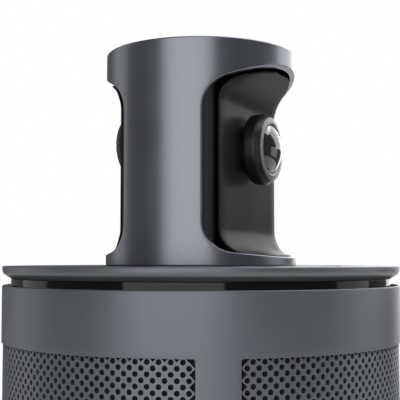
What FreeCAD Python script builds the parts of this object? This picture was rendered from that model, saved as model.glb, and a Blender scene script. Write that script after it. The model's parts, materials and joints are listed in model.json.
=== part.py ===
import FreeCAD, Part

import math
import os
import re

import Sketcher
from fcgear import fcgear, involute

# A two-lens conference camera on a speaker column. Millimetres, +Z up, origin at the centre of
# the foot's underside. The front lens looks along -Y, and the sockets are at the rear, +Y.
# The head (tower, shoulder disc and keys) pans on a ball bearing, driven by a stepper motor.

DIMENSIONS = {
    # the whole object
    "total_height": 272.5,
    "body_radius": 52.25,
    "running_gap": 0.3,
    "play": 0.05,
    # screws, with the holes they pass through
    "screw_head_height": 0.6,
    "screw_key_size": 0.55,
    "screw_key_depth": 0.4,
    "base_screw": 1.5,
    "base_screw_head": 2.8,
    "base_screw_length": 10,
    "base_screw_sink": 2,
    "motor_screw": 1.4,
    "motor_screw_head": 2.5,
    "motor_screw_length": 5,
    "hub_screw": 1.2,
    "hub_screw_head": 2.2,
    "hub_screw_length": 5.8,
    "hub_screw_circle": 18,
    # foot and base plate
    "foot_inner": 38,
    "foot_outer": 46,
    "foot_height": 2.2,
    "foot_round": 0.6,
    "base_flange_radius": 52,
    "base_plate_top": 6,
    "boss_radius": 10,
    "boss_top": 11.5,
    "insert_radius": 6,
    "thread_wall_radius": 2.55,
    "thread_depth": 8,
    # perforated sleeve
    "sleeve_wall": 1,
    "sleeve_low": 3,
    "sleeve_high": 211.1,
    "cloth_gap": 0.1,
    "cloth_thickness": 0.3,
    "cloth_low": 34,
    "cloth_high": 203,
    # socket bay in the rear of the sleeve
    "bay_half_width": 30.5,
    "bay_low": 11.5,
    "bay_high": 30.5,
    "bay_back": 38.7,
    "panel_wall": 1.5,
    "socket_recess": 0.2,
    "board_height": 0.4,
    "board_stock": 1.6,
    "fin_height": 14,
    "fin_thickness": 1.2,
    "fin_pitch": 3.8,
    "sink_width": 32,
    "sink_plate": 3,
    # speaker
    "enclosure_radius": 46,
    "enclosure_low": 36,
    "enclosure_top": 121,
    "enclosure_wall": 2.5,
    "leg_radius": 4,
    "leg_circle": 33.5,
    "driver_hole": 33.5,
    "driver_flange": 38,
    "cone_radius": 26,
    "magnet_radius": 22,
    "magnet_low": 84,
    "magnet_top": 100.7,
    "basket_neck": 16,
    "basket_wall": 1.3,
    "basket_lip": 1.5,
    "basket_hole": 4.5,
    "surround_width": 6,
    "coil_radius": 9.95,
    "coil_gap": 1.05,
    "coil_half": 0.25,
    "pole_bore": 5,
    "deflector_low": 128,
    "deflector_high": 166,
    "deflector_tip": 1.5,
    "deflector_radius": 38,
    "deflector_plate": 49.5,
    "pillar_radius": 2.5,
    "pillar_circle": 42.5,
    # upper frame that carries the bearing, the motor and the light ring
    "deck_low": 194,
    "deck_thickness": 3,
    "frame_radius": 50.8,
    "rim_inner": 44,
    "rim_high": 204,
    "ring_inner": 47,
    "ring_outer": 50,
    "light_count": 24,
    # pan bearing and drive
    "spindle_bore": 6.5,
    "bearing_bore": 10,
    "bearing_outer": 16,
    "bearing_low": 194.5,
    "bearing_width": 7,
    "ball_circle": 13.1,
    "ball_radius": 1.5,
    "ball_count": 14,
    "race_groove": 1.86,
    "gear_module": 0.8,
    "gear_teeth": 60,
    "pinion_teeth": 15,
    "pressure_angle": 20,
    "backlash": 0.15,
    "gear_low": 205,
    "gear_width": 4.7,
    "pinion_width": 4,
    "motor_angle": 30,
    "motor_radius": 12,
    "motor_height": 18,
    "motor_shaft_radius": 1,
    "motor_ear": 3.5,
    "motor_ear_thickness": 0.8,
    "hub_flange": 21.5,
    "hub_flange_height": 2.8,
    # shoulder disc and keys
    "disc_top": 216,
    "disc_thickness": 3.4,
    "disc_side": 2,
    "disc_undercut": 2.25,
    "disc_round": 2.2,
    "edge_break": 0.15,
    "key_circle": 39,
    "key_radius": 4.2,
    "key_flange": 5.2,
    "key_first": 195,
    "key_step": 30,
    "mic_circle": 43.5,
    "mic_hole": 0.7,
    "mic_count": 6,
    "capsule_radius": 2,
    "switch_size": 4.4,
    "plunger_radius": 1.1,
    "key_board_post": 2.2,
    "key_board_circle": 30,
    "board_thickness": 1.2,
    "key_board_low": 209.2,
    # camera tower, with heights counted from the top of the disc
    "tower_radius": 25.5,
    "tower_wall": 1.3,
    "window_flat": 10.8,
    "window_low": 10.8,
    "window_high": 38.9,
    "window_low_radius": 7.5,
    "window_high_radius": 9,
    "window_low_turn": 82,
    "window_high_turn": 65,
    "window_reach": 30,
    "liner_radius": 24.1,
    "liner_wall": 1.2,
    "liner_flat": 12.65,
    "liner_window_low": 1,
    "liner_window_high": 52.5,
    "liner_height": 54,
    "bezel_flat": 14.1,
    "bezel_low": 9.5,
    "bezel_high": 40.6,
    "bezel_low_radius": 6.5,
    "bezel_high_radius": 7,
    "bezel_low_turn": 85,
    "bezel_high_turn": 65,
    "bezel_thickness": 1.1,
    "bezel_radius": 24.05,
    "bezel_half_width": 19.1,
    # lens, measured out from the tower's axis; the rear one stands higher and further out
    "lens_height": 30.5,
    "rear_lens_rise": 2.6,
    "rear_lens_out": 1.25,
    "barrel_radius": 5.9,
    "barrel_back": 7.4,
    "collar_radius": 9.3,
    "collar_back": 15.6,
    "collar_bevel": 1.1,
    "collar_front": 18.9,
    "lens_front": 20.4,
    "lens_face_radius": 8.3,
    "lens_seat_radius": 6.5,
    "lens_bore": 5,
    "ring_front": 20.75,
    "dome_radius": 6.2,
    "dome_edge": 20.5,
    "dome_apex": 22.8,
    "dome_hollow": 4.6,
    "dome_hollow_depth": 3,
    "element_radius": 4.8,
    "sensor_distance": 6,
    "sensor_board_size": 24,
    "frame_post": 1.5,
    "frame_post_reach": 10,
    "frame_base_height": 1.4,
    "frame_width": 34,
    "frame_thickness": 4,
    "frame_high": 52,
}

FRONT_AND_REAR = {"front": -90, "rear": 90}
LEG_ANGLES = (20, 160, 225, 315)
PILLAR_ANGLES = (90, 210, 330)
OUTWARDS = {"front": "(-1)", "rear": "1"}
LENS_Z = {"front": "disc_top + lens_height", "rear": "disc_top + lens_height + rear_lens_rise"}
LENS_SHIFT = {"front": "0", "rear": "rear_lens_out"}
FIN_COUNT = 9
KEY_NAMES = ("power", "volume_down", "microphone", "camera", "view_mode", "volume_up")
SOCKET_Y = "bay_back + panel_wall - socket_recess"

doc = FreeCAD.newDocument("ConferenceCamera")
sheet = doc.addObject("Spreadsheet::Sheet", "dims")
for number, (alias, size) in enumerate(DIMENSIONS.items(), start=1):
    sheet.set(f"A{number}", alias)
    sheet.set(f"B{number}", str(size))
    sheet.setAlias(f"B{number}", alias)
doc.recompute()
nodes = []

ORIGIN, START, END = -1, 1, 2
ACROSS_AXIS, UP_AXIS = -1, -2
TINY = 1e-6


# ---- expressions, sketches and features -------------------------------------------------------

def bound(text):
    """The expression with every name in it pointed at the sheet's cell of that name."""
    return re.sub(r"[a-z_]+", lambda word: "dims." + word[0] if word[0] in DIMENSIONS else word[0], str(text))


def value(text):
    """What an expression comes to now."""
    return float(sheet.evalExpression(bound(text)))


def bind(thing, path, text):
    thing.setExpression(path, bound(text))


def move(thing, x="0", y="0", z="0"):
    for axis, text in zip("xyz", (x, y, z)):
        bind(thing, f"Placement.Base.{axis}", text)
    return thing


def turn(thing, axis, angle):
    place = thing.Placement
    place.Rotation = FreeCAD.Rotation(FreeCAD.Vector(*axis), angle)
    thing.Placement = place
    return thing


def node(thing, label):
    """Marks an object as a finished sub-part, to be written under that name."""
    thing.Label = label
    nodes.append(thing)
    return thing


def new_body(name):
    return doc.addObject("PartDesign::Body", name)


def new_sketch(body, plane, height="0"):
    """A sketch on one of the body's own origin planes, lifted along the plane's normal."""
    sketch = body.newObject("Sketcher::SketchObject", body.Name + "_sketch")
    support = [feature for feature in body.Origin.OriginFeatures if feature.Role == plane][0]
    sketch.AttachmentSupport = [(support, "")]
    sketch.MapMode = "FlatFace"
    bind(sketch, "AttachmentOffset.Base.z", height)
    return sketch


def arc(start, end, radius, bend):
    """The short arc between two points that bends to the left (bend 1) or to the right (-1)."""
    chord = end - start
    reach = math.sqrt(max(radius ** 2 - (chord.Length / 2) ** 2, 0))
    sideways = FreeCAD.Vector(-chord.y, chord.x, 0).normalize() * bend * reach
    centre = (start + end) / 2 + sideways
    angles = [math.atan2(point.y - centre.y, point.x - centre.x) for point in (start, end)]
    if bend < 0:
        angles.reverse()
    return Part.ArcOfCircle(Part.Circle(centre, FreeCAD.Vector(0, 0, 1), radius), *angles)


def dimension(sketch, kind, name, where, text):
    """A dimension of the sketch that follows an expression."""
    index = sketch.addConstraint(Sketcher.Constraint(kind, *where, value(text)))
    sketch.renameConstraint(index, name)
    bind(sketch, f"Constraints.{name}", text)


def pin_point(sketch, geometry, end, across, up):
    """Holds one point of the sketch where two expressions say, counted from the origin."""
    for kind, letter, axis, text in (
        ("DistanceX", "x", UP_AXIS, across),
        ("DistanceY", "y", ACROSS_AXIS, up),
    ):
        if abs(value(text)) < TINY:
            sketch.addConstraint(Sketcher.Constraint("PointOnObject", geometry, end, axis))
        else:
            dimension(sketch, kind, f"{letter}{geometry}", (ORIGIN, START, geometry, end), text)


def draw_outline(sketch, corners):
    """A closed outline. A corner is (across, up), reached by a line, or (across, up, radius, bend),
    reached by an arc."""
    places = [FreeCAD.Vector(value(corner[0]), value(corner[1]), 0) for corner in corners]
    sides = []
    for number, corner in enumerate(corners):
        start, end = places[number - 1], places[number]
        if len(corner) == 2:
            sides.append((sketch.addGeometry(Part.LineSegment(start, end)), START, END))
            continue
        radius, bend = corner[2:]
        geometry = sketch.addGeometry(arc(start, end, value(radius), bend))
        dimension(sketch, "Radius", f"radius{geometry}", (geometry,), radius)
        sides.append((geometry, START, END) if bend > 0 else (geometry, END, START))
    for number, (geometry, _, last) in enumerate(sides):
        following, first, _ = sides[(number + 1) % len(sides)]
        sketch.addConstraint(Sketcher.Constraint("Coincident", geometry, last, following, first))
        pin_point(sketch, geometry, last, *corners[number][:2])


def draw_circles(sketch, circles):
    """Circles, each (across, up, radius)."""
    for across, up, radius in circles:
        centre = FreeCAD.Vector(value(across), value(up), 0)
        circle = Part.Circle(centre, FreeCAD.Vector(0, 0, 1), value(radius))
        geometry = sketch.addGeometry(circle)
        dimension(sketch, "Radius", f"radius{geometry}", (geometry,), radius)
        pin_point(sketch, geometry, 3, across, up)


def revolved(name, corners):
    """A body turned about its own Z axis from an outline in radius and height."""
    body = new_body(name)
    sketch = new_sketch(body, "XZ_Plane")
    draw_outline(sketch, corners)
    feature = body.newObject("PartDesign::Revolution", name + "_turned")
    feature.Profile = sketch
    feature.ReferenceAxis = (sketch, ["V_Axis"])
    feature.Angle = 360
    return body


def profile(name, corners, length):
    """A body padded both ways from an outline in distance and height."""
    body = new_body(name)
    sketch = new_sketch(body, "XZ_Plane")
    draw_outline(sketch, corners)
    feature = body.newObject("PartDesign::Pad", name + "_padded")
    feature.Profile = sketch
    feature.SideType = "Symmetric"
    bind(feature, "Length", length)
    return body


def add_posts(body, circles, low, length):
    """Round posts that stand up from a height."""
    sketch = new_sketch(body, "XY_Plane", low)
    draw_circles(sketch, circles)
    feature = body.newObject("PartDesign::Pad", body.Name + "_posts")
    feature.Profile = sketch
    bind(feature, "Length", length)
    return body


def drill(body, circles, low="0", depth=None):
    """Round holes along Z: right through, or up from a height to a depth."""
    doc.recompute()
    before = body.Shape.Volume
    sketch = new_sketch(body, "XY_Plane", low)
    draw_circles(sketch, circles)
    feature = body.newObject("PartDesign::Pocket", body.Name + "_drilled")
    feature.Profile = sketch
    if depth is None:
        feature.Type = "ThroughAll"
        feature.SideType = "Symmetric"
    else:
        feature.Reversed = True
        bind(feature, "Length", depth)
    doc.recompute()
    if not body.Shape.Volume < before - TINY:
        raise RuntimeError(f"the holes in {body.Name} cut nothing")
    return body


def cylinder(name, radius, low, high, x="0", y="0"):
    solid = doc.addObject("Part::Cylinder", name)
    bind(solid, "Radius", radius)
    bind(solid, "Height", f"({high}) - ({low})")
    return move(solid, x, y, low)


def rod_along_y(name, radius, start, length, x, z):
    """A cylinder that runs towards the rear."""
    solid = doc.addObject("Part::Cylinder", name)
    bind(solid, "Radius", radius)
    bind(solid, "Height", length)
    return move(turn(solid, (1, 0, 0), -90), x, start, z)


def block(name, width, depth, low, high, x="0", y="0"):
    """A box centred on x and y."""
    solid = doc.addObject("Part::Box", name)
    bind(solid, "Length", width)
    bind(solid, "Width", depth)
    bind(solid, "Height", f"({high}) - ({low})")
    return move(solid, f"({x}) - ({width}) / 2", f"({y}) - ({depth}) / 2", low)


def group(name, pieces):
    """Separate solids that count as one sub-part."""
    result = doc.addObject("Part::Compound", name)
    result.Links = pieces
    return result


def joined(name, pieces):
    result = doc.addObject("Part::MultiFuse", name)
    result.Shapes = pieces
    return result


def cut(name, base, *tools):
    result = doc.addObject("Part::Cut", name)
    result.Base = base
    result.Tool = tools[0] if len(tools) == 1 else group(name + "_tools", list(tools))
    return result


def common(name, base, tool):
    result = doc.addObject("Part::Common", name)
    result.Base = base
    result.Tool = tool
    return result


def tube(name, outer, inner, low, high):
    return cut(name, cylinder(name + "_outer", outer, low, high), cylinder(name + "_inner", inner, low, high))


def cap_radius(half_width, rise):
    """The radius of a spherical cap, so that its centre lies exactly on the axis."""
    return f"(({half_width}) ^ 2 + ({rise}) ^ 2) / (2 * ({rise}))"


def polar(radius, angle):
    """Expressions for the point at a radius and an angle about the Z axis."""
    return f"({radius}) * cos({angle})", f"({radius}) * sin({angle})"


def around(radius, count, first=0):
    """Points evenly spaced on a circle."""
    return [polar(radius, first + 360 / count * number) for number in range(count)]


def screw(name, x, y, seat, shank, head, length, up):
    """A socket-head screw. Its head stands on the seat (up 1) or hangs below it (up -1)."""
    head_height = f"{head} * screw_head_height"
    socket = doc.addObject("Part::Prism", name + "_socket")
    socket.Polygon = 6
    bind(socket, "Circumradius", f"{head} * screw_key_size")
    bind(socket, "Height", f"{head} * screw_key_depth")
    if up > 0:
        top = f"({seat}) + {head_height}"
        move(socket, x, y, f"{top} - {head} * screw_key_depth")
        shaft = cylinder(name + "_shank", shank, f"({seat}) - {length}", seat, x, y)
        cap = cylinder(name + "_head", head, seat, top, x, y)
    else:
        bottom = f"({seat}) - {head_height}"
        move(socket, x, y, bottom)
        shaft = cylinder(name + "_shank", shank, seat, f"({seat}) + {length}", x, y)
        cap = cylinder(name + "_head", head, bottom, seat, x, y)
    return cut(name, joined(name + "_solid", [shaft, cap]), socket)


def gear(name, teeth, width, bore):
    """An involute spur gear with a plain bore."""
    builder = fcgear.FCWireBuilder()
    count = round(value(teeth))
    involute.CreateExternalGear(builder, value("gear_module"), count, value("pressure_angle"), True)
    wire = Part.Wire([curve.toShape() for curve in builder.wire])
    blank = Part.Face(wire).extrude(FreeCAD.Vector(0, 0, value(width)))
    feature = doc.addObject("Part::Feature", name)
    feature.Shape = blank.cut(Part.makeCylinder(value(bore), value(width)))
    return feature


# ---- foot and base plate ----------------------------------------------------------------------

def build_foot():
    node(revolved("foot_ring", [
        ("foot_inner + foot_round", "0", "foot_round", 1),
        ("foot_outer - foot_round", "0"),
        ("foot_outer", "foot_round", "foot_round", 1),
        ("foot_outer", "foot_height"),
        ("foot_inner", "foot_height"),
        ("foot_inner", "foot_round"),
    ]), "foot_ring")


def build_base_plate():
    plate = revolved("base_plate", [
        ("insert_radius", "foot_height"),
        ("base_flange_radius", "foot_height"),
        ("base_flange_radius", "sleeve_low"),
        ("body_radius - sleeve_wall - play", "sleeve_low"),
        ("body_radius - sleeve_wall - play", "base_plate_top"),
        ("boss_radius", "base_plate_top"),
        ("boss_radius", "boss_top"),
        ("insert_radius", "boss_top"),
    ])
    legs = [polar("leg_circle", angle) for angle in LEG_ANGLES]
    drill(plate, [(*leg, "base_screw + 2 * play") for leg in legs])
    seat = "foot_height + base_screw_sink"
    drill(plate, [(*leg, "base_screw_head + running_gap") for leg in legs], "0", seat)
    node(plate, "base_plate")
    screws = [
        screw(f"base_screw{number}", *leg, seat, "base_screw", "base_screw_head", "base_screw_length", -1)
        for number, leg in enumerate(legs)
    ]
    node(group("base_screws", screws), "base_screws")


def build_tripod_insert():
    """A blind threaded insert for a camera tripod, its thread drawn as a plain wall."""
    low = "foot_height + play"
    node(revolved("tripod_insert", [
        ("thread_wall_radius", low),
        ("insert_radius - play", low),
        ("insert_radius - play", f"{low} + thread_depth + 1"),
        ("0", f"{low} + thread_depth + 1"),
        ("0", f"{low} + thread_depth"),
        ("thread_wall_radius", f"{low} + thread_depth"),
    ]), "tripod_insert")


# ---- perforated sleeve and its socket bay -----------------------------------------------------

def build_sleeve():
    shell = tube("sleeve_shell", "body_radius", "body_radius - sleeve_wall", "sleeve_low", "sleeve_high")
    window = block("sleeve_window", "2 * bay_half_width", "body_radius", "bay_low", "bay_high",
                   "0", "body_radius")
    node(cut("body_sleeve", shell, window), "body_sleeve")
    cloth_outer = "body_radius - sleeve_wall - cloth_gap"
    node(tube("acoustic_cloth", cloth_outer, f"{cloth_outer} - cloth_thickness", "cloth_low", "cloth_high"),
         "acoustic_cloth")


def build_port_panel(openings):
    """The tub behind the window in the sleeve, with a hole for each socket."""
    outer = block("panel_outer", "2 * (bay_half_width + panel_wall)", "body_radius",
                  "bay_low - panel_wall", "bay_high + panel_wall", "0", "bay_back + body_radius / 2")
    inner = block("panel_inner", "2 * bay_half_width", "body_radius",
                  "bay_low", "bay_high", "0", "bay_back + panel_wall + body_radius / 2")
    tub = cut("panel_tub", outer, inner, *openings)
    inside = cylinder("panel_limit", "body_radius - sleeve_wall - play", "0", "bay_high + 10")
    node(common("port_panel", tub, inside), "port_panel")


# Each socket stands on the main board and comes flush with the front of the panel:
# name, place across, body width, depth and height, then the mouth's width, depth and height
SOCKETS = (
    ("ethernet_jack", "-20.5", "16", "15", "13.5", "11.8", "13", "8.2"),
    ("hdmi_port", "-3.9", "15.2", "12", "6", "14.2", "10", "4.6"),
    ("usb_c_port", "9.6", "9.2", "8", "3.8", "8.4", "7", "2.6"),
)
BOARD_TOP = "boss_top + board_height + board_stock"
ROUND_SOCKETS = (
    ("audio_jack", "18", "6", "13", "6", "1.8", "12"),
    ("power_jack", "26", "8", "13", "9", "3.1", "10"),
)


def build_sockets():
    openings = []
    for name, x, width, depth, height, mouth_width, mouth_depth, mouth_height in SOCKETS:
        middle = f"{BOARD_TOP} + {height} / 2"
        body = block(name + "_body", width, depth, BOARD_TOP, f"{BOARD_TOP} + {height}",
                     x, f"{SOCKET_Y} - {depth} / 2")
        mouth = block(name + "_mouth", mouth_width, mouth_depth,
                      f"{middle} - {mouth_height} / 2", f"{middle} + {mouth_height} / 2",
                      x, f"{SOCKET_Y} - {mouth_depth} / 2")
        socket = cut(name + "_shell", body, mouth)
        if name == "ethernet_jack":
            latch = block(name + "_latch", "4", mouth_depth, f"{BOARD_TOP} + 1.2", middle,
                          x, f"{SOCKET_Y} - {mouth_depth} / 2")
            socket = cut(name + "_latched", socket, latch)
        else:
            tongue = block(name + "_tongue", f"{mouth_width} * 0.8", f"{mouth_depth} - 1",
                           f"{middle} - 0.35", f"{middle} + 0.35", x,
                           f"{SOCKET_Y} - ({mouth_depth} + 1) / 2")
            socket = joined(name + "_tongued", [socket, tongue])
        node(socket, name)
        openings.append(block(name + "_opening", f"{width} + 2 * play", "10",
                              f"{BOARD_TOP} - play", f"{BOARD_TOP} + {height} + play", x, "bay_back"))
    for name, x, width, depth, height, bore, bore_depth in ROUND_SOCKETS:
        middle = f"{BOARD_TOP} + {height} / 2"
        body = block(name + "_body", width, depth, BOARD_TOP, f"{BOARD_TOP} + {height}",
                     x, f"{SOCKET_Y} - {depth} / 2")
        hole = rod_along_y(name + "_bore", bore, f"{SOCKET_Y} - {bore_depth}", bore_depth, x, middle)
        socket = cut(name + "_bored", body, hole)
        if name == "power_jack":
            pin = rod_along_y(name + "_pin", "1", f"{SOCKET_Y} - {bore_depth} - 1", bore_depth, x, middle)
            socket = joined(name + "_pinned", [socket, pin])
        node(socket, name)
        openings.append(block(name + "_opening", f"{width} + 2 * play", "10",
                              f"{BOARD_TOP} - play", f"{BOARD_TOP} + {height} + play", x, "bay_back"))
    build_port_panel(openings)


def build_main_board():
    low = "boss_top + board_height"
    disc = cylinder("main_board_disc", "enclosure_radius - 1", low, BOARD_TOP)
    rear = block("main_board_rear", "4 * bay_half_width", "20", low, BOARD_TOP, "0", "bay_back - play + 10")
    holes = [
        cylinder(f"main_board_hole{number}", "leg_radius + running_gap", low, BOARD_TOP,
                 *polar("leg_circle", angle))
        for number, angle in enumerate(LEG_ANGLES)
    ]
    node(cut("main_board", disc, rear, *holes), "main_board")
    plate_top = f"{BOARD_TOP} + sink_plate"
    fins = [
        block(f"fin{number}", "fin_thickness", "sink_width", plate_top, f"{plate_top} + fin_height",
              f"{number - (FIN_COUNT - 1) / 2} * fin_pitch")
        for number in range(FIN_COUNT)
    ]
    plate = block("heatsink_plate", "sink_width", "sink_width", BOARD_TOP, plate_top)
    node(joined("soc_heatsink", [plate, *fins]), "soc_heatsink")


# ---- speaker ----------------------------------------------------------------------------------

def build_enclosure():
    inner = "enclosure_radius - enclosure_wall"
    shell = revolved("enclosure_shell", [
        ("0", "enclosure_low"),
        ("enclosure_radius", "enclosure_low"),
        ("enclosure_radius", "enclosure_top"),
        ("driver_hole", "enclosure_top"),
        ("driver_hole", "enclosure_top - enclosure_wall"),
        (inner, "enclosure_top - enclosure_wall"),
        (inner, "enclosure_low + enclosure_wall"),
        ("0", "enclosure_low + enclosure_wall"),
    ])
    places = [polar("leg_circle", angle) for angle in LEG_ANGLES]
    legs = [
        cylinder(f"leg{number}", "leg_radius", "base_plate_top + play", "enclosure_low + 1", *place)
        for number, place in enumerate(places)
    ]
    holes = [
        cylinder(f"leg_hole{number}", "base_screw + 2 * play", "base_plate_top",
                 "base_plate_top + base_screw_length - 1", *place)
        for number, place in enumerate(places)
    ]
    node(cut("speaker_enclosure", joined("enclosure_on_legs", [shell, *legs]), *holes), "speaker_enclosure")


def build_driver():
    """An upward-firing speaker: basket, magnet, cone and the surround that lets the cone travel."""
    throat, pole = "coil_radius + coil_gap", "coil_radius - coil_gap"
    lip = "enclosure_top + basket_lip"
    hole_edge = "driver_hole - running_gap"
    surround_edge = "cone_radius + surround_width"
    neck_top = "magnet_top + basket_wall"
    basket = revolved("speaker_basket", [
        (throat, "magnet_top + play"),
        ("basket_neck + basket_wall / 2", "magnet_top + play"),
        (hole_edge, "enclosure_top - basket_wall"),
        (hole_edge, "enclosure_top"),
        ("driver_flange", "enclosure_top"),
        ("driver_flange", lip),
        (surround_edge, lip),
        (surround_edge, "enclosure_top - basket_wall / 2"),
        ("basket_neck", neck_top),
        (throat, neck_top),
    ])
    holes = [(*place, "basket_hole") for place in around("cone_radius - 1", 6)]
    node(drill(basket, holes), "speaker_basket")
    node(revolved("speaker_magnet", [
        ("pole_bore", "magnet_low"),
        ("magnet_radius", "magnet_low"),
        ("magnet_radius", "magnet_top"),
        (throat, "magnet_top"),
        (throat, "magnet_top - 9"),
        (pole, "magnet_top - 9"),
        (pole, "magnet_top"),
        ("pole_bore", "magnet_top"),
    ]), "speaker_magnet")
    coil_outer, coil_inner = "coil_radius + coil_half", "coil_radius - coil_half"
    node(revolved("speaker_cone", [
        (coil_inner, "magnet_top - 6"),
        (coil_outer, "magnet_top - 6"),
        (coil_outer, "enclosure_top - 15.7"),
        ("cone_radius", "enclosure_top - 1.8"),
        ("cone_radius", "enclosure_top - 1"),
        (coil_outer, "enclosure_top - 14.8"),
        ("0", "enclosure_top - 11.8", cap_radius(coil_outer, "3"), 1),
        ("0", "enclosure_top - 12.4"),
        (coil_inner, "enclosure_top - 15.2", cap_radius(coil_inner, "2.8"), -1),
    ]), "speaker_cone")
    inside, outside, height = "cone_radius + play", f"{surround_edge} - play", "enclosure_top - 0.4"
    node(revolved("speaker_surround", [
        (inside, height, "3", 1),
        (f"{inside} + 0.5", height),
        (f"{outside} - 0.5", height, "2.5", -1),
        (outside, height),
    ]), "speaker_surround")


def build_deflector():
    """The bell above the speaker that turns its sound outwards all round."""
    bell = revolved("sound_deflector", [
        ("0", "deflector_low"),
        ("deflector_tip", "deflector_low"),
        ("deflector_radius", "deflector_high", "60", -1),
        ("deflector_plate", "deflector_high"),
        ("deflector_plate", "deflector_high + 3"),
        ("0", "deflector_high + 3"),
    ])
    places = [polar("pillar_circle", angle) for angle in PILLAR_ANGLES]
    node(drill(bell, [(*place, "pillar_radius + play") for place in places]), "sound_deflector")
    pillars = [
        cylinder(f"pillar{number}", "pillar_radius", "enclosure_top", "deck_low", *place)
        for number, place in enumerate(places)
    ]
    node(group("support_pillars", pillars), "support_pillars")


# ---- upper frame, light ring and pan drive ----------------------------------------------------

MOTOR_REACH = "gear_module * (gear_teeth + pinion_teeth) / 2 + backlash"
MOTOR_X = f"({MOTOR_REACH}) * cos(motor_angle)"
MOTOR_Y = f"({MOTOR_REACH}) * sin(motor_angle)"


def motor_screw_places():
    """The motor's two screws, to either side of its shaft."""
    return [
        (f"{MOTOR_X} - ({offset}) * sin(motor_angle)", f"{MOTOR_Y} + ({offset}) * cos(motor_angle)")
        for offset in ("motor_radius + motor_ear", "-motor_radius - motor_ear")
    ]


def build_top_frame():
    deck_top = "deck_low + deck_thickness"
    frame = revolved("top_frame", [
        ("bearing_outer - 1.5", "deck_low - 1"),
        ("bearing_outer + 1.5", "deck_low - 1"),
        ("bearing_outer + 1.5", "deck_low"),
        ("frame_radius", "deck_low"),
        ("frame_radius", "rim_high"),
        ("rim_inner", "rim_high"),
        ("rim_inner", deck_top),
        ("bearing_outer + 3", deck_top),
        ("bearing_outer + 3", "bearing_low + bearing_width"),
        ("bearing_outer + play", "bearing_low + bearing_width"),
        ("bearing_outer + play", "bearing_low"),
        ("bearing_outer - 1.5", "bearing_low"),
    ])
    holes = [(MOTOR_X, MOTOR_Y, "motor_shaft_radius + 0.8")]
    holes += [(*place, "motor_screw + play") for place in motor_screw_places()]
    node(drill(frame, holes), "top_frame")


def build_light_ring():
    top = "disc_top - disc_thickness - running_gap"
    node(revolved("light_ring", [
        ("ring_inner", "rim_high"),
        ("ring_outer", "rim_high"),
        ("ring_outer", f"{top} - 0.3"),
        ("ring_outer - 0.3", top, "0.3", 1),
        ("ring_inner", top),
    ]), "light_ring")
    board_top = "rim_high + board_thickness"
    node(tube("led_board", "ring_inner - 0.3", "rim_inner + 0.3", "rim_high", board_top), "led_board")
    lights = [
        block(f"light{number}", "1.2", "1.2", board_top, f"{board_top} + 0.9", *place)
        for number, place in enumerate(around("ring_inner - 1.3", DIMENSIONS["light_count"]))
    ]
    node(group("leds", lights), "leds")


def build_bearing():
    middle = "bearing_low + bearing_width / 2"
    top = "bearing_low + bearing_width"
    node(revolved("bearing_outer_race", [
        ("ball_circle + 1.1", "bearing_low"),
        ("bearing_outer", "bearing_low"),
        ("bearing_outer", top),
        ("ball_circle + 1.1", top),
        ("ball_circle + 1.1", f"{middle} + 1.5"),
        ("ball_circle + 1.1", f"{middle} - 1.5", "race_groove", -1),
    ]), "bearing_outer_race")
    node(revolved("bearing_inner_race", [
        ("bearing_bore", "bearing_low"),
        ("ball_circle - 1.1", "bearing_low"),
        ("ball_circle - 1.1", f"{middle} - 1.5"),
        ("ball_circle - 1.1", f"{middle} + 1.5", "race_groove", -1),
        ("ball_circle - 1.1", top),
        ("bearing_bore", top),
    ]), "bearing_inner_race")
    balls = []
    for number, place in enumerate(around("ball_circle", DIMENSIONS["ball_count"])):
        ball = doc.addObject("Part::Sphere", f"ball{number}")
        bind(ball, "Radius", "ball_radius")
        balls.append(move(ball, *place, middle))
    node(group("bearing_balls", balls), "bearing_balls")


def hub_screw_places():
    return around("hub_screw_circle", 4, 45)


def hub_holes():
    return [(*place, "hub_screw + play") for place in hub_screw_places()]


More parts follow.
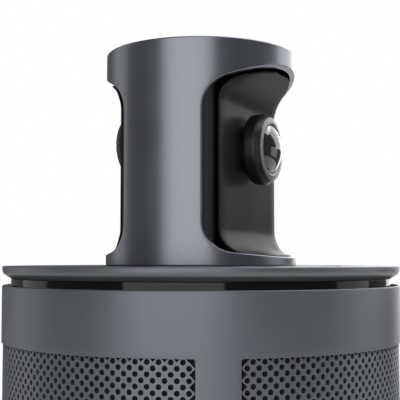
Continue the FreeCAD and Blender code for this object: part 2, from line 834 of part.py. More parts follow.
def build_pan_drive():
    flange_top = "disc_top - disc_thickness"
    flange_low = f"{flange_top} - hub_flange_height"
    shaft = "bearing_bore - play"
    hub = revolved("pan_hub", [
        ("spindle_bore", "bearing_low - 5"),
        (shaft, "bearing_low - 5"),
        (shaft, "bearing_low + bearing_width + 0.1"),
        ("bearing_bore + 1.8", "bearing_low + bearing_width + 0.1"),
        ("bearing_bore + 1.8", "gear_low"),
        (shaft, "gear_low"),
        (shaft, flange_low),
        ("hub_flange", flange_low),
        ("hub_flange", flange_top),
        ("spindle_bore", flange_top),
    ])
    node(drill(hub, hub_holes(), flange_low, "hub_flange_height"), "pan_hub")
    node(move(gear("pan_gear", "gear_teeth", "gear_width", "bearing_bore"), z="gear_low"), "pan_gear")
    pinion = gear("pinion_teeth_ring", "pinion_teeth", "pinion_width", "motor_shaft_radius + 0.01")
    turn(pinion, (0, 0, 1), DIMENSIONS["motor_angle"])
    node(move(pinion, MOTOR_X, MOTOR_Y, "gear_low - 0.4"), "motor_pinion")
    node(cylinder("motor_shaft", "motor_shaft_radius", "deck_low - 8", "gear_low + pinion_width - 0.2",
                  MOTOR_X, MOTOR_Y), "motor_shaft")
    can = cylinder("motor_can", "motor_radius", "deck_low - motor_height", "deck_low", MOTOR_X, MOTOR_Y)
    ear_low, ear_reach = "deck_low - motor_ear_thickness", "(motor_radius + 2 * motor_ear)"
    ears = block("motor_ears", "2 * motor_ear", f"2 * {ear_reach}", ear_low, "deck_low")
    move(turn(ears, (0, 0, 1), DIMENSIONS["motor_angle"]),
         f"{MOTOR_X} - motor_ear * cos(motor_angle) + {ear_reach} * sin(motor_angle)",
         f"{MOTOR_Y} - motor_ear * sin(motor_angle) - {ear_reach} * cos(motor_angle)",
         ear_low)
    well = cylinder("motor_well", "motor_shaft_radius + running_gap", "deck_low - 9", "deck_low",
                    MOTOR_X, MOTOR_Y)
    ear_holes = [
        cylinder(f"ear_hole{number}", "motor_screw + play", "deck_low - 1", "deck_low", *place)
        for number, place in enumerate(motor_screw_places())
    ]
    node(cut("pan_motor", joined("motor_case", [can, ears]), well, *ear_holes), "pan_motor")
    screws = [
        screw(f"motor_screw{number}", *place, "deck_low + deck_thickness",
              "motor_screw", "motor_screw_head", "motor_screw_length", 1)
        for number, place in enumerate(motor_screw_places())
    ]
    node(group("motor_screws", screws), "motor_screws")


# ---- shoulder disc, keys and microphones ------------------------------------------------------

DISC_LOW = "disc_top - disc_thickness"


def key_places():
    return [
        polar("key_circle", f"key_first + {number} * key_step") for number in range(len(KEY_NAMES))
    ]


def build_shoulder():
    plate = revolved("shoulder_plate", [
        ("spindle_bore", DISC_LOW),
        ("body_radius - disc_undercut", DISC_LOW),
        ("body_radius", "disc_top - disc_side", "disc_round", 1),
        ("body_radius", "disc_top - edge_break"),
        ("body_radius - edge_break", "disc_top"),
        ("spindle_bore", "disc_top"),
    ])
    add_posts(plate, [(*place, "key_board_post") for place in around("key_board_circle", 4, 45)],
              "key_board_low + board_thickness", f"{DISC_LOW} - key_board_low - board_thickness")
    holes = [(*place, "key_radius + running_gap") for place in key_places()]
    holes += [(*place, "mic_hole") for place in around("mic_circle", DIMENSIONS["mic_count"])]
    holes += hub_holes()
    node(drill(plate, holes), "shoulder_plate")
    screws = [
        screw(f"hub_screw{number}", *place, "disc_top", "hub_screw", "hub_screw_head", "hub_screw_length", 1)
        for number, place in enumerate(hub_screw_places())
    ]
    node(group("hub_screws", screws), "hub_screws")


def build_keys():
    board_top = "key_board_low + board_thickness"
    node(tube("key_board", "enclosure_radius", "25.8", "key_board_low", board_top), "key_board")
    flange_low = f"{DISC_LOW} - 0.7"
    switches = []
    for number, (name, place) in enumerate(zip(KEY_NAMES, key_places())):
        key = revolved("key_" + name, [
            ("0", flange_low),
            ("key_flange", flange_low),
            ("key_flange", f"{DISC_LOW} - 0.1"),
            ("key_radius", f"{DISC_LOW} - 0.1"),
            ("key_radius", "disc_top - 0.3"),
            ("key_radius - 0.2", "disc_top - 0.1", "0.2", 1),
            ("0", "disc_top - 0.1"),
        ])
        node(move(key, *place), "key_" + name)
        can = block(f"switch_can{number}", "switch_size", "switch_size",
                    board_top, f"{board_top} + 0.5", *place)
        plunger = cylinder(f"switch_plunger{number}", "plunger_radius",
                           f"{board_top} + 0.4", f"{board_top} + 0.8", *place)
        switches.append(joined(f"switch{number}", [can, plunger]))
    node(group("key_switches", switches), "key_switches")
    capsules = [
        cylinder(f"capsule{number}", "capsule_radius", board_top, f"{DISC_LOW} - 0.2", *place)
        for number, place in enumerate(around("mic_circle", DIMENSIONS["mic_count"]))
    ]
    node(group("mic_capsules", capsules), "mic_capsules")


# ---- camera tower -----------------------------------------------------------------------------

def flared(flat, low, high, low_radius, high_radius, low_turn, high_turn):
    """The run of a waisted profile from its lower outer end to its upper one: a straight flare, an
    arc, the flat, an arc and a straight flare. Distances are from the tower's axis."""
    low_end = f"({flat}) + ({low_radius}) * (1 - cos({low_turn}))"
    low_drop = f"disc_top + ({low}) - ({low_radius}) * sin({low_turn})"
    high_end = f"({flat}) + ({high_radius}) * (1 - cos({high_turn}))"
    high_rise = f"disc_top + ({high}) + ({high_radius}) * sin({high_turn})"
    return [
        ("window_reach", f"{low_drop} - (window_reach - ({low_end})) * tan(90 - {low_turn})"),
        (low_end, low_drop),
        (flat, f"disc_top + ({low})", low_radius, -1),
        (flat, f"disc_top + ({high})"),
        (high_end, high_rise, high_radius, -1),
        ("window_reach", f"{high_rise} + (window_reach - ({high_end})) * tan(90 - {high_turn})"),
    ]


def backwards(corners):
    """The same run of corners from its other end, each arc bending the other way."""
    arcs = [corner[2:] for corner in corners[1:]]
    arcs.reverse()
    places = [corner[:2] for corner in reversed(corners)]
    return [places[0]] + [
        place + ((found[0], -found[1]) if found else ()) for place, found in zip(places[1:], arcs)
    ]


def build_shell():
    top = "total_height"
    wall = "tower_radius - tower_wall"
    windows = [
        turn(profile(f"window_{side}", flared(
            "window_flat", "window_low", "window_high", "window_low_radius", "window_high_radius",
            "window_low_turn", "window_high_turn"), "3 * tower_radius"), (0, 0, 1), angle)
        for side, angle in FRONT_AND_REAR.items()
    ]
    node(cut("head_shell", tube("shell_tube", "tower_radius", wall, "disc_top", top), *windows), "head_shell")
    node(revolved("head_cap", [
        ("0", f"{top} - 2.2"),
        (f"{wall} - 0.1", f"{top} - 2.2"),
        (f"{wall} - 0.1", f"{top} - 0.6"),
        (f"{wall} - 0.4", f"{top} - 0.3", "0.3", 1),
        ("0", f"{top} - 0.3"),
    ]), "head_cap")


def build_liner():
    liner_top = "disc_top + liner_height"
    liner = tube("liner_tube", "liner_radius", "liner_radius - liner_wall", "disc_top", liner_top)
    windows = [
        block(f"liner_window_{side}", "3 * liner_radius", "liner_radius",
              "disc_top + liner_window_low", "disc_top + liner_window_high",
              "0", f"{outwards} * (liner_flat + liner_radius / 2)")
        for side, outwards in OUTWARDS.items()
    ]
    node(cut("inner_sleeve", liner, *windows), "inner_sleeve")


def build_bezels():
    face = flared("bezel_flat", "bezel_low", "bezel_high", "bezel_low_radius", "bezel_high_radius",
                  "bezel_low_turn", "bezel_high_turn")
    back = flared("bezel_flat - bezel_thickness", "bezel_low", "bezel_high",
                  "bezel_low_radius + bezel_thickness", "bezel_high_radius + bezel_thickness",
                  "bezel_low_turn", "bezel_high_turn")
    for side, angle in FRONT_AND_REAR.items():
        plate = turn(profile("bezel_plate_" + side, back + backwards(face), "2 * bezel_half_width"),
                     (0, 0, 1), angle)
        limit = cylinder("bezel_limit_" + side, "bezel_radius", "disc_top", "total_height")
        hole = rod_along_y("bezel_hole_" + side, "barrel_radius + 2 * play", "-tower_radius",
                           "2 * tower_radius", "0", LENS_Z[side])
        node(cut("lens_bezel_" + side, common("bezel_" + side, plate, limit), hole), "lens_bezel_" + side)


def lens_part(name, side, corners):
    """A round part on the lens axis. Its outline is in radius and distance from the tower's axis."""
    tilt = 90 if side == "front" else -90
    part = turn(revolved(f"{name}_{side}", corners), (1, 0, 0), tilt)
    return move(part, y=LENS_SHIFT[side], z=LENS_Z[side])


def build_lenses():
    elements, boards = [], []
    seat = "collar_front - 1.4"
    for side, outwards in OUTWARDS.items():
        node(lens_part("lens_barrel", side, [
            ("lens_bore", "barrel_back"),
            ("barrel_radius", "barrel_back"),
            ("barrel_radius", "collar_back"),
            ("collar_radius - collar_bevel", "collar_back"),
            ("collar_radius", "collar_back + collar_bevel"),
            ("collar_radius", "collar_front"),
            ("lens_face_radius", "lens_front"),
            ("lens_seat_radius", "lens_front"),
            ("lens_seat_radius", seat),
            ("lens_bore", seat),
        ]), "lens_barrel_" + side)
        node(lens_part("lens_ring", side, [
            ("dome_radius + 0.2", "lens_front"),
            ("lens_face_radius - 0.05", "lens_front"),
            ("lens_face_radius - 0.2", "ring_front"),
            ("dome_radius + 0.35", "ring_front"),
        ]), "lens_ring_" + side)
        node(lens_part("lens_dome", side, [
            ("0", f"{seat} + 0.1 + dome_hollow_depth"),
            ("dome_hollow", f"{seat} + 0.1", cap_radius("dome_hollow", "dome_hollow_depth"), -1),
            ("dome_radius", f"{seat} + 0.1"),
            ("dome_radius", "dome_edge"),
            ("0", "dome_apex", cap_radius("dome_radius", "dome_apex - dome_edge"), 1),
        ]), "lens_dome_" + side)
        elements.append(lens_part("lens_element", side, [
            ("0", "collar_back - 3"),
            ("element_radius", "collar_back - 2", cap_radius("element_radius", "1"), 1),
            ("element_radius", "collar_back - 0.6"),
            ("0", "collar_back + 0.8", cap_radius("element_radius", "1.4"), 1),
        ]))
        centre, shift = LENS_Z[side], LENS_SHIFT[side]
        board = block("sensor_board_" + side, "sensor_board_size", "board_thickness",
                      f"{centre} - sensor_board_size / 2", f"{centre} + sensor_board_size / 2",
                      "0", f"{shift} + {outwards} * (sensor_distance + board_thickness / 2)")
        chip = block("sensor_chip_" + side, "6", "0.9", f"{centre} - 3", f"{centre} + 3",
                     "0", f"{shift} + {outwards} * (sensor_distance + board_thickness + 0.4)")
        boards.append(joined("sensor_" + side, [board, chip]))
    node(group("lens_elements", elements), "lens_elements")
    node(group("sensor_boards", boards), "sensor_boards")


def build_camera_frame():
    """The upright plate between the two sensor boards, on a round base inside the tower."""
    base_top = "disc_top + frame_base_height"
    base = cylinder("frame_base", "hub_flange", "disc_top", base_top)
    upright = block("frame_upright", "frame_width", "frame_thickness",
                    "disc_top + 1", "disc_top + frame_high")
    starts = {"front": "-sensor_distance", "rear": "0"}
    posts = [
        rod_along_y(f"frame_post_{side}{across}{up}", "frame_post", starts[side],
                    f"sensor_distance + {LENS_SHIFT[side]}",
                    f"{across} * frame_post_reach - frame_post_reach",
                    f"{LENS_Z[side]} + {up} * frame_post_reach - frame_post_reach")
        for side in OUTWARDS for across in (0, 2) for up in (0, 2)
    ]
    passages = [
        cylinder(f"frame_passage{number}", "hub_screw_head + 0.4", "disc_top", base_top, *place)
        for number, place in enumerate(hub_screw_places())
    ]
    cable_way = cylinder("frame_cable_way", "spindle_bore", "disc_top", "disc_top + 12")
    solid = joined("frame_solid", [base, upright, *posts])
    node(cut("camera_frame", solid, cable_way, *passages), "camera_frame")


# ---- check and write --------------------------------------------------------------------------

def write_parts():
    doc.recompute()
    failed = [thing.Label for thing in doc.Objects if {"Invalid", "Error"} & set(thing.State)]
    failed += [thing.Label for thing in nodes if thing.Shape.isNull() or not thing.Shape.isValid()]
    if failed:
        raise RuntimeError(f"these objects failed: {failed}")
    os.makedirs("parts", exist_ok=True)
    for thing in nodes:
        thing.Shape.exportStep(os.path.join("parts", thing.Label + ".step"))
    print(len(nodes), "sub-parts written")


build_foot()
build_base_plate()
build_tripod_insert()
build_sleeve()
build_sockets()
build_main_board()
build_enclosure()
build_driver()
build_deflector()
build_top_frame()
build_light_ring()
build_bearing()
build_pan_drive()
build_shoulder()
build_keys()
build_shell()
build_liner()
build_bezels()
build_lenses()
build_camera_frame()
write_parts()
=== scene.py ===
import json
import math

import bmesh
import bpy
from mathutils import Matrix, Vector


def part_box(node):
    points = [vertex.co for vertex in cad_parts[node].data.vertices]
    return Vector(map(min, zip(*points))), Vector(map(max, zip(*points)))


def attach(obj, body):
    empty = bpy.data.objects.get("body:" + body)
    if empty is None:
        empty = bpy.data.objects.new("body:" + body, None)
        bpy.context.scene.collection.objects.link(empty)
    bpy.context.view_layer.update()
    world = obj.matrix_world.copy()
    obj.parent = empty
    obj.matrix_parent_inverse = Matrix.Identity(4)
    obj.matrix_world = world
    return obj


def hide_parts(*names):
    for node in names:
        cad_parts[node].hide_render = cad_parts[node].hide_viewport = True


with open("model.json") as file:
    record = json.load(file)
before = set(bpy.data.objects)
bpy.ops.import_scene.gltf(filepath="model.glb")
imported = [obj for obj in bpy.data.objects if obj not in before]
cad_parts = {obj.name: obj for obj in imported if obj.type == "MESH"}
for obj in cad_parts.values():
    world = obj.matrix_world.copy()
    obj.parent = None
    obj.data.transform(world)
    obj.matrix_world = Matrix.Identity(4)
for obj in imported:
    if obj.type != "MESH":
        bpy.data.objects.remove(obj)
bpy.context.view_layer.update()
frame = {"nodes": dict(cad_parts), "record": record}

# A conference camera: a tower with two fisheye lenses in waisted windows, on a perforated speaker column.
# Lengths are in millimetres and angles in degrees, but for the lights, whose lengths are in metres.
MM = 0.001
FRONT = -90.0
REAR = 90.0


def low(node):
    """Lowest corner of a CAD node, in millimetres."""
    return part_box(node)[0] / MM


def high(node):
    """Highest corner of a CAD node, in millimetres."""
    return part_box(node)[1] / MM


def centre_of(node):
    """Middle of a CAD node's box, in millimetres."""
    return (low(node) + high(node)) / 2


SLOTS = {part["node"]: part["material_slot"] for part in frame["record"]["subparts"]}


# ---------------------------------------------------------------- driving sizes

TOWER_BASE = low("head_shell").z
LINER_RADIUS = high("inner_sleeve").x
DRUM_RADIUS = high("body_sleeve").x
DRUM_BASE = low("body_sleeve").z
DRUM_TOP = high("body_sleeve").z
DISC_RADIUS = high("shoulder_plate").x
DISC_TOP = high("shoulder_plate").z
DISC_THICKNESS = 3.15
DISC_BASE = DISC_TOP - DISC_THICKNESS
LENS_HEIGHT = centre_of("lens_barrel_front").z
LENS_FRONT = -low("lens_barrel_front").y
GRILLE_BASE = 38.0
GRILLE_TOP = 196.7
STRIP_ANGLE = 10.8
ZONE_ANGLE = 120.0
ZONE_CENTRES = tuple(FRONT - 1.0 + ZONE_ANGLE * i for i in range(3))
STEP_ANGLE = 2.5


# ---------------------------------------------------------------- materials

class Tree:
    """A new material's nodes and links, its shader, and the place that every texture is laid out by."""

    def __init__(self, name):
        self.made = bpy.data.materials.new(name)
        self.made.use_nodes = True
        self.nodes = self.made.node_tree.nodes
        self.link = self.made.node_tree.links.new
        self.shader = self.nodes["Principled BSDF"]
        self.place = self.nodes.new("ShaderNodeTexCoord").outputs["Object"]

    def set(self, **values):
        """Constant inputs of the shader, with _ for each space in their names."""
        for label, value in values.items():
            self.shader.inputs[label.replace("_", " ")].default_value = value

    def feed(self, label, source):
        """Links a source to an input of the shader."""
        self.link(source, self.shader.inputs[label])


def noise(tree, size, detail=3.0, stretch=None):
    """Noise whose grains are about size millimetres across, stretched along an axis where asked."""
    texture = tree.nodes.new("ShaderNodeTexNoise")
    texture.inputs["Scale"].default_value = 1.0 / (size * MM)
    texture.inputs["Detail"].default_value = detail
    source = tree.place
    if stretch:
        mapping = tree.nodes.new("ShaderNodeMapping")
        mapping.inputs["Scale"].default_value = stretch
        tree.link(source, mapping.inputs["Vector"])
        source = mapping.outputs["Vector"]
    tree.link(source, texture.inputs["Vector"])
    return texture.outputs["Fac"]


def mapped(tree, source, span, target):
    """Another node's output with its span mapped onto target."""
    change = tree.nodes.new("ShaderNodeMapRange")
    for label, value in zip(("From Min", "From Max", "To Min", "To Max"), (*span, *target)):
        change.inputs[label].default_value = value
    tree.link(source, change.inputs["Value"])
    return change.outputs["Result"]


# The part of each measure's values that shows
NOISE_SPAN = (0.3, 0.7)
SPECK_SPAN = (0.66, 0.7)
EDGE_SPAN = (0.53, 0.62)


def spread(tree, source, lowest, highest):
    """A noise's middle range mapped onto lowest to highest."""
    return mapped(tree, source, NOISE_SPAN, (lowest, highest))


def blended(tree, share, first, second):
    """first where share is 0 and second where it is 1; each is a colour or another node's output."""
    mix = tree.nodes.new("ShaderNodeMix")
    mix.data_type = "RGBA"
    tree.link(share, mix.inputs["Factor"])
    for socket, colour in ((mix.inputs["A"], first), (mix.inputs["B"], second)):
        if isinstance(colour, tuple):
            socket.default_value = (*colour, 1.0)
        else:
            tree.link(colour, socket)
    return mix.outputs["Result"]


def scaled(colour, factor):
    """A lighter or darker colour."""
    return tuple(min(1.0, channel * factor) for channel in colour)


def bumped(tree, source, height, before=None):
    """A bump of height millimetres from source, on top of the bump before it."""
    bump = tree.nodes.new("ShaderNodeBump")
    bump.inputs["Distance"].default_value = height * MM
    tree.link(source, bump.inputs["Height"])
    if before:
        tree.link(before, bump.inputs["Normal"])
    return bump.outputs["Normal"]


def surface(name, colour, roughness, metallic=0.0, mottle=0.08, mottle_size=9.0, grain=0.25, depth=0.006,
            stretch=None, wear=0.25, uneven=0.12, specks=None, specular=0.5, ring_pitch=0.0):
    """A finish with uneven colour, fine grain, uneven roughness and paler worn edges."""
    tree = Tree(name)
    tree.set(Metallic=metallic, Specular_IOR_Level=specular)
    broad = noise(tree, mottle_size, stretch=stretch)
    fine = noise(tree, grain, detail=2.0, stretch=stretch)
    tone = blended(tree, spread(tree, broad, 0.0, 1.0), scaled(colour, 1.0 - mottle),
                   scaled(colour, 1.0 + mottle))
    tone = blended(tree, spread(tree, fine, 0.0, 0.35), tone, scaled(colour, 1.0 + 2 * mottle))
    if specks:
        tiny = noise(tree, grain * 3, detail=1.0)
        tone = blended(tree, mapped(tree, tiny, SPECK_SPAN, (0.0, 1.0)), tone, specks)
    if wear:
        edges = tree.nodes.new("ShaderNodeNewGeometry").outputs["Pointiness"]
        worn = mapped(tree, edges, EDGE_SPAN, (0.0, wear))
        tone = blended(tree, worn, tone, scaled(colour, 2.0))
    tree.feed("Base Color", tone)
    tree.feed("Roughness", spread(tree, broad, roughness * (1 - uneven), roughness * (1 + uneven)))
    normal = bumped(tree, fine, depth)
    if ring_pitch:
        normal = turned(tree, ring_pitch, normal)
    tree.feed("Normal", normal)
    return tree.made


# Repeats of a wave texture for each unit of its scale
WAVE_RATE = 0.3


def turned(tree, pitch, before):
    """Fine turning marks around the lens axis."""
    shift = tree.nodes.new("ShaderNodeMapping")
    shift.inputs["Location"].default_value = (0.0, 0.0, -LENS_HEIGHT * MM)
    tree.link(tree.place, shift.inputs["Vector"])
    wave = tree.nodes.new("ShaderNodeTexWave")
    wave.wave_type = "RINGS"
    wave.rings_direction = "Y"
    wave.inputs["Scale"].default_value = WAVE_RATE / (pitch * MM)
    tree.link(shift.outputs["Vector"], wave.inputs["Vector"])
    return bumped(tree, wave.outputs["Fac"], pitch / 20, before)


def woven(name, colour, pitch):
    """Open acoustic cloth: two crossed thread directions."""
    tree = Tree(name)
    threads = []
    for direction in ("Z", "DIAGONAL"):
        wave = tree.nodes.new("ShaderNodeTexWave")
        wave.bands_direction = direction
        wave.inputs["Scale"].default_value = WAVE_RATE / (pitch * MM)
        wave.inputs["Distortion"].default_value = 0.6
        tree.link(tree.place, wave.inputs["Vector"])
        threads.append(wave.outputs["Fac"])
    cross = tree.nodes.new("ShaderNodeMath")
    cross.operation = "MULTIPLY"
    tree.link(threads[0], cross.inputs[0])
    tree.link(threads[1], cross.inputs[1])
    tone = blended(tree, cross.outputs["Value"], scaled(colour, 0.4), scaled(colour, 2.2))
    tree.feed("Base Color", tone)
    tree.feed("Normal", bumped(tree, cross.outputs["Value"], 0.1))
    tree.set(Roughness=0.95, Sheen_Weight=0.2)
    return tree.made


def glass(name, colour, ior):
    """Coated optical glass with a trace of dust and smear."""
    tree = Tree(name)
    tree.set(Transmission_Weight=1.0, IOR=ior, Coat_Weight=0.6, Coat_Roughness=0.02)
    smear = noise(tree, 3.0, stretch=(1.0, 1.0, 0.4))
    tree.feed("Roughness", spread(tree, smear, 0.0, 0.035))
    tree.feed("Base Color", blended(tree, smear, colour, scaled(colour, 0.9)))
    tree.feed("Normal", bumped(tree, smear, 0.002))
    return tree.made


def board(name):
    """Green solder mask over copper tracks."""
    tree = Tree(name)
    brick = tree.nodes.new("ShaderNodeTexBrick")
    block = 6.0
    brick.inputs["Scale"].default_value = 1.0 / (block * MM)
    brick.inputs["Mortar Size"].default_value = 0.04
    for label, colour in (("Color1", (0.010, 0.075, 0.035)), ("Color2", (0.014, 0.095, 0.045)),
                          ("Mortar", (0.03, 0.17, 0.08))):
        brick.inputs[label].default_value = (*colour, 1.0)
    tree.link(tree.place, brick.inputs["Vector"])
    tree.feed("Base Color", brick.outputs["Color"])
    grain = noise(tree, 0.4)
    tree.feed("Roughness", spread(tree, grain, 0.28, 0.42))
    tree.feed("Normal", bumped(tree, brick.outputs["Fac"], 0.02))
    return tree.made


SLATE = (0.235, 0.245, 0.272)
# Painted shade: a darker copy of SLATE for the drum and disc, which have the tower's finish but catch less
# light.
SHADED_SLATE = (0.175, 0.184, 0.206)
SMOOTH_METAL = {"mottle": 0.03, "grain": 0.3, "depth": 0.002, "uneven": 0.06}
# Each slot's colour, roughness and further values
SURFACES = {
    "slate_metal": (SLATE, 0.30, {"metallic": 1.0, **SMOOTH_METAL}),
    "cap_plastic": ((0.012, 0.012, 0.014), 0.18, {"mottle": 0.1, "depth": 0.0008}),
    "dark_metal": ((0.013, 0.0145, 0.0155), 0.42,
                   {"metallic": 0.3, "mottle": 0.06, "depth": 0.003, "specular": 0.3}),
    "black_insert": ((0.023, 0.023, 0.0235), 0.30,
                     {"mottle": 0.12, "grain": 0.3, "depth": 0.003, "specular": 0.045}),
    "barrel_black": ((0.010, 0.010, 0.0105), 0.34,
                     {"mottle": 0.1, "depth": 0.003, "ring_pitch": 0.35, "specular": 0.4}),
    "ring_metal": ((0.17, 0.175, 0.18), 0.34,
                   {"metallic": 0.9, "mottle": 0.06, "depth": 0.002, "ring_pitch": 0.3}),
    "frame_aluminium": ((0.55, 0.56, 0.58), 0.42, {"metallic": 1.0, "depth": 0.01}),
    "switch_steel": ((0.50, 0.50, 0.51), 0.3, {"metallic": 1.0}),
    "gear_plastic": ((0.72, 0.70, 0.64), 0.4, {"wear": 0.0}),
    "screw_steel": ((0.08, 0.08, 0.085), 0.36, {"metallic": 0.8}),
    "bearing_steel": ((0.58, 0.59, 0.61), 0.16, {"metallic": 1.0, "depth": 0.001}),
    "gear_brass": ((0.60, 0.42, 0.16), 0.28, {"metallic": 1.0}),
    "motor_steel": ((0.45, 0.45, 0.46), 0.34, {"metallic": 1.0, "stretch": (1.0, 1.0, 8.0)}),
    "frame_plastic": ((0.022, 0.022, 0.024), 0.55, {"mottle": 0.12, "depth": 0.014}),
    "gloss_ring": ((0.002, 0.0022, 0.0025), 0.07,
                   {"mottle": 0.2, "mottle_size": 14.0, "depth": 0.0003, "wear": 0.05, "specular": 0.38}),
    "led_lens": ((0.75, 0.75, 0.68), 0.12, {"wear": 0.0}),
    "socket_steel": ((0.42, 0.42, 0.43), 0.3, {"metallic": 1.0, "stretch": (1.0, 6.0, 1.0)}),
    "socket_plastic": ((0.012, 0.012, 0.013), 0.3, {"depth": 0.004}),
    "basket_steel": ((0.02, 0.02, 0.02), 0.4, {}),
    "magnet_ferrite": ((0.05, 0.05, 0.05), 0.6, {"depth": 0.02}),
    "cone_paper": ((0.03, 0.03, 0.032), 0.85, {"depth": 0.03, "wear": 0.0}),
    "surround_rubber": ((0.012, 0.012, 0.012), 0.5, {}),
    "base_plastic": ((0.030, 0.031, 0.034), 0.5, {"mottle": 0.1, "depth": 0.012}),
    "insert_brass": ((0.60, 0.43, 0.18), 0.26, {"metallic": 1.0}),
    "foot_rubber": ((0.014, 0.014, 0.015), 0.78,
                    {"mottle": 0.2, "grain": 0.35, "depth": 0.03, "specks": (0.03, 0.03, 0.03)}),
    "key_plastic": ((0.035, 0.036, 0.040), 0.42, {}),
}
FINISHES = {slot: surface(slot, colour, roughness, **further)
            for slot, (colour, roughness, further) in SURFACES.items()}
FINISHES["lens_glass"] = glass("lens_glass", (0.07, 0.085, 0.095), 1.8)
FINISHES["circuit_board"] = board("circuit_board")
FINISHES["speaker_cloth"] = woven("speaker_cloth", (0.007, 0.007, 0.008), 0.45)
# Painted shade: the drum and disc take the tower's slate finish with the colour darkened and made less
# metallic, for the weaker light they catch; the roughness is raised as well.
SHADED_DRUM_METAL = surface("slate_metal_drum_shaded", SHADED_SLATE, 0.40, metallic=0.62, **SMOOTH_METAL)
SHADED_DISC_METAL = surface("slate_metal_disc_shaded", SHADED_SLATE, 0.40, metallic=0.62, wear=0.0, **SMOOTH_METAL)
GOLD = surface("contact_gold", (0.75, 0.52, 0.20), 0.22, metallic=1.0, depth=0.001, wear=0.0)
# Painted shade: a near-black, nearly unreflecting finish for the strips that stand in for the shadow in the
# gaps beside the lens inserts.
PAINTED_GAP_SHADE = surface("painted_gap_shade", (0.002, 0.002, 0.002), 0.9, depth=0.004, wear=0.0, specular=0.05)
PRINT = surface("key_print", (0.55, 0.56, 0.58), 0.5, mottle=0.05, depth=0.003, wear=0.0)
FLOOR = surface("floor_paper", (0.86, 0.86, 0.86), 0.7, mottle=0.01, mottle_size=120.0, grain=0.9,
                depth=0.01, wear=0.0)


# ---------------------------------------------------------------- mesh tools

class Skin:
    """Points and faces gathered row by row before they become one mesh, in millimetres."""

    def __init__(self):
        self.points = []
        self.faces = []

    def rows(self, rows, closed=True):
        """Quads between each row of points and the next; closed joins each row's end to its start."""
        start = len(self.points)
        width = len(rows[0])
        for row in rows:
            self.points.extend(row)
        across = width if closed else width - 1
        for i in range(len(rows) - 1):
            for j in range(across):
                here = start + i * width + j
                beside = start + i * width + (j + 1) % width
                self.faces.append((here, beside, beside + width, here + width))

    def sheet(self, row):
        """One flat face over a row of points."""
        start = len(self.points)
        self.points.extend(row)
        self.faces.append(tuple(range(start, start + len(row))))


def mesh_of(name, skin, weld):
    """A mesh from a skin; with a weld, points that close are joined and faces turned outward."""
    mesh = bpy.data.meshes.new(name)
    mesh.from_pydata([Vector(point) * MM for point in skin.points], [], skin.faces)
    if weld:
        shape = bmesh.new()
        shape.from_mesh(mesh)
        bmesh.ops.remove_doubles(shape, verts=shape.verts, dist=weld * MM)
        bmesh.ops.dissolve_degenerate(shape, edges=shape.edges, dist=weld * MM / 4)
        bmesh.ops.recalc_face_normals(shape, faces=shape.faces)
        shape.to_mesh(mesh)
        shape.free()
    return mesh


def added(name, data):
    """A new object in the scene."""
    thing = bpy.data.objects.new(name, data)
    bpy.context.scene.collection.objects.link(thing)
    return thing


def shade(mesh, sharp):
    """Smooth shading, but for edges sharper than an angle."""
    mesh.polygons.foreach_set("use_smooth", [True] * len(mesh.polygons))
    mesh.set_sharp_from_angle(angle=math.radians(sharp))


SHARP = 32.0
WELD = 0.002
CUTTER_WELD = 0.001


def make(name, skin, slot, body, replaced=(), place=None, sharp=SHARP, finish=None, weld=WELD):
    """A piece from a skin: shaded, finished, and riding on its body."""
    mesh = mesh_of(name, skin, weld)
    if place:
        mesh.transform(place)
    shade(mesh, sharp)
    mesh.materials.append(finish or FINISHES[slot])
    piece = added(name, mesh)
    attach(piece, body)
    if replaced:
        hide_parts(*replaced)
    return piece


def stand_in(node, skin, body, place=None, **further):
    """A piece that is shown instead of a CAD node, with the node's slot."""
    return make(node + "_visual", skin, SLOTS[node], body, [node], place, **further)


def moved(x, y, z):
    """A shift by millimetres, as a matrix."""
    return Matrix.Translation(Vector((x, y, z)) * MM)


def rounded(corners, steps=4):
    """The points of a closed outline of (x, y, radius) corners, each corner an arc of its radius."""
    points = []
    for before, here, after in zip(corners[-1:] + corners[:-1], corners, corners[1:] + corners[:1]):
        corner = Vector(here[:2])
        radius = here[2]
        if not radius:
            points.append(tuple(corner))
            continue
        back = (Vector(before[:2]) - corner).normalized()
        ahead = (Vector(after[:2]) - corner).normalized()
        half = back.angle(ahead) / 2
        centre = corner + (back + ahead).normalized() * (radius / math.sin(half))
        start = corner + back * (radius / math.tan(half)) - centre
        end = corner + ahead * (radius / math.tan(half)) - centre
        first = math.atan2(start.y, start.x)
        sweep = (math.atan2(end.y, end.x) - first + math.pi) % math.tau - math.pi
        for i in range(steps + 1):
            angle = first + sweep * i / steps
            points.append((centre.x + radius * math.cos(angle), centre.y + radius * math.sin(angle)))
    return points


def arc_points(radius, first, last, centre=(0.0, 0.0), steps=20):
    """Points along an arc from one angle to another."""
    angles = [math.radians(first + (last - first) * i / steps) for i in range(steps + 1)]
    return [(centre[0] + radius * math.cos(angle), centre[1] + radius * math.sin(angle)) for angle in angles]


def around(radius, height, segments, centre=(0.0, 0.0)):
    """A ring of points about the vertical."""
    return [(x, y, height) for x, y in arc_points(radius, 0.0, 360.0, centre, segments)[:-1]]


def lathe(corners, segments=192, steps=4):
    """A skin turned about the vertical from a closed outline of (radius, height, rounding) corners."""
    skin = Skin()
    outline = rounded(corners, steps)
    skin.rows([around(radius, height, segments) for radius, height in outline + outline[:1]])
    return skin


def on_drum(radius, angle, height):
    """A point on a vertical cylinder at an angle from +X."""
    turn = math.radians(angle)
    return (radius * math.cos(turn), radius * math.sin(turn), height)


def between(first, second, share):
    """The point a share of the way from first to second."""
    return tuple(a + (b - a) * share for a, b in zip(first, second))


def curve_through(start, corner, end, share):
    """A point on the short curve from start to end that leans towards corner."""
    return between(between(start, corner, share), between(corner, end, share), share)


def offset_loop(loop, distance, stretch):
    """A closed (angle, height) loop moved outward by distance; stretch is millimetres for each degree."""
    shifted = []
    for before, here, after in zip(loop[-1:] + loop[:-1], loop, loop[1:] + loop[:1]):
        along = Vector(((after[0] - before[0]) * stretch, after[1] - before[1])).normalized()
        shifted.append((here[0] + along.y * distance / stretch, here[1] - along.x * distance))
    return shifted


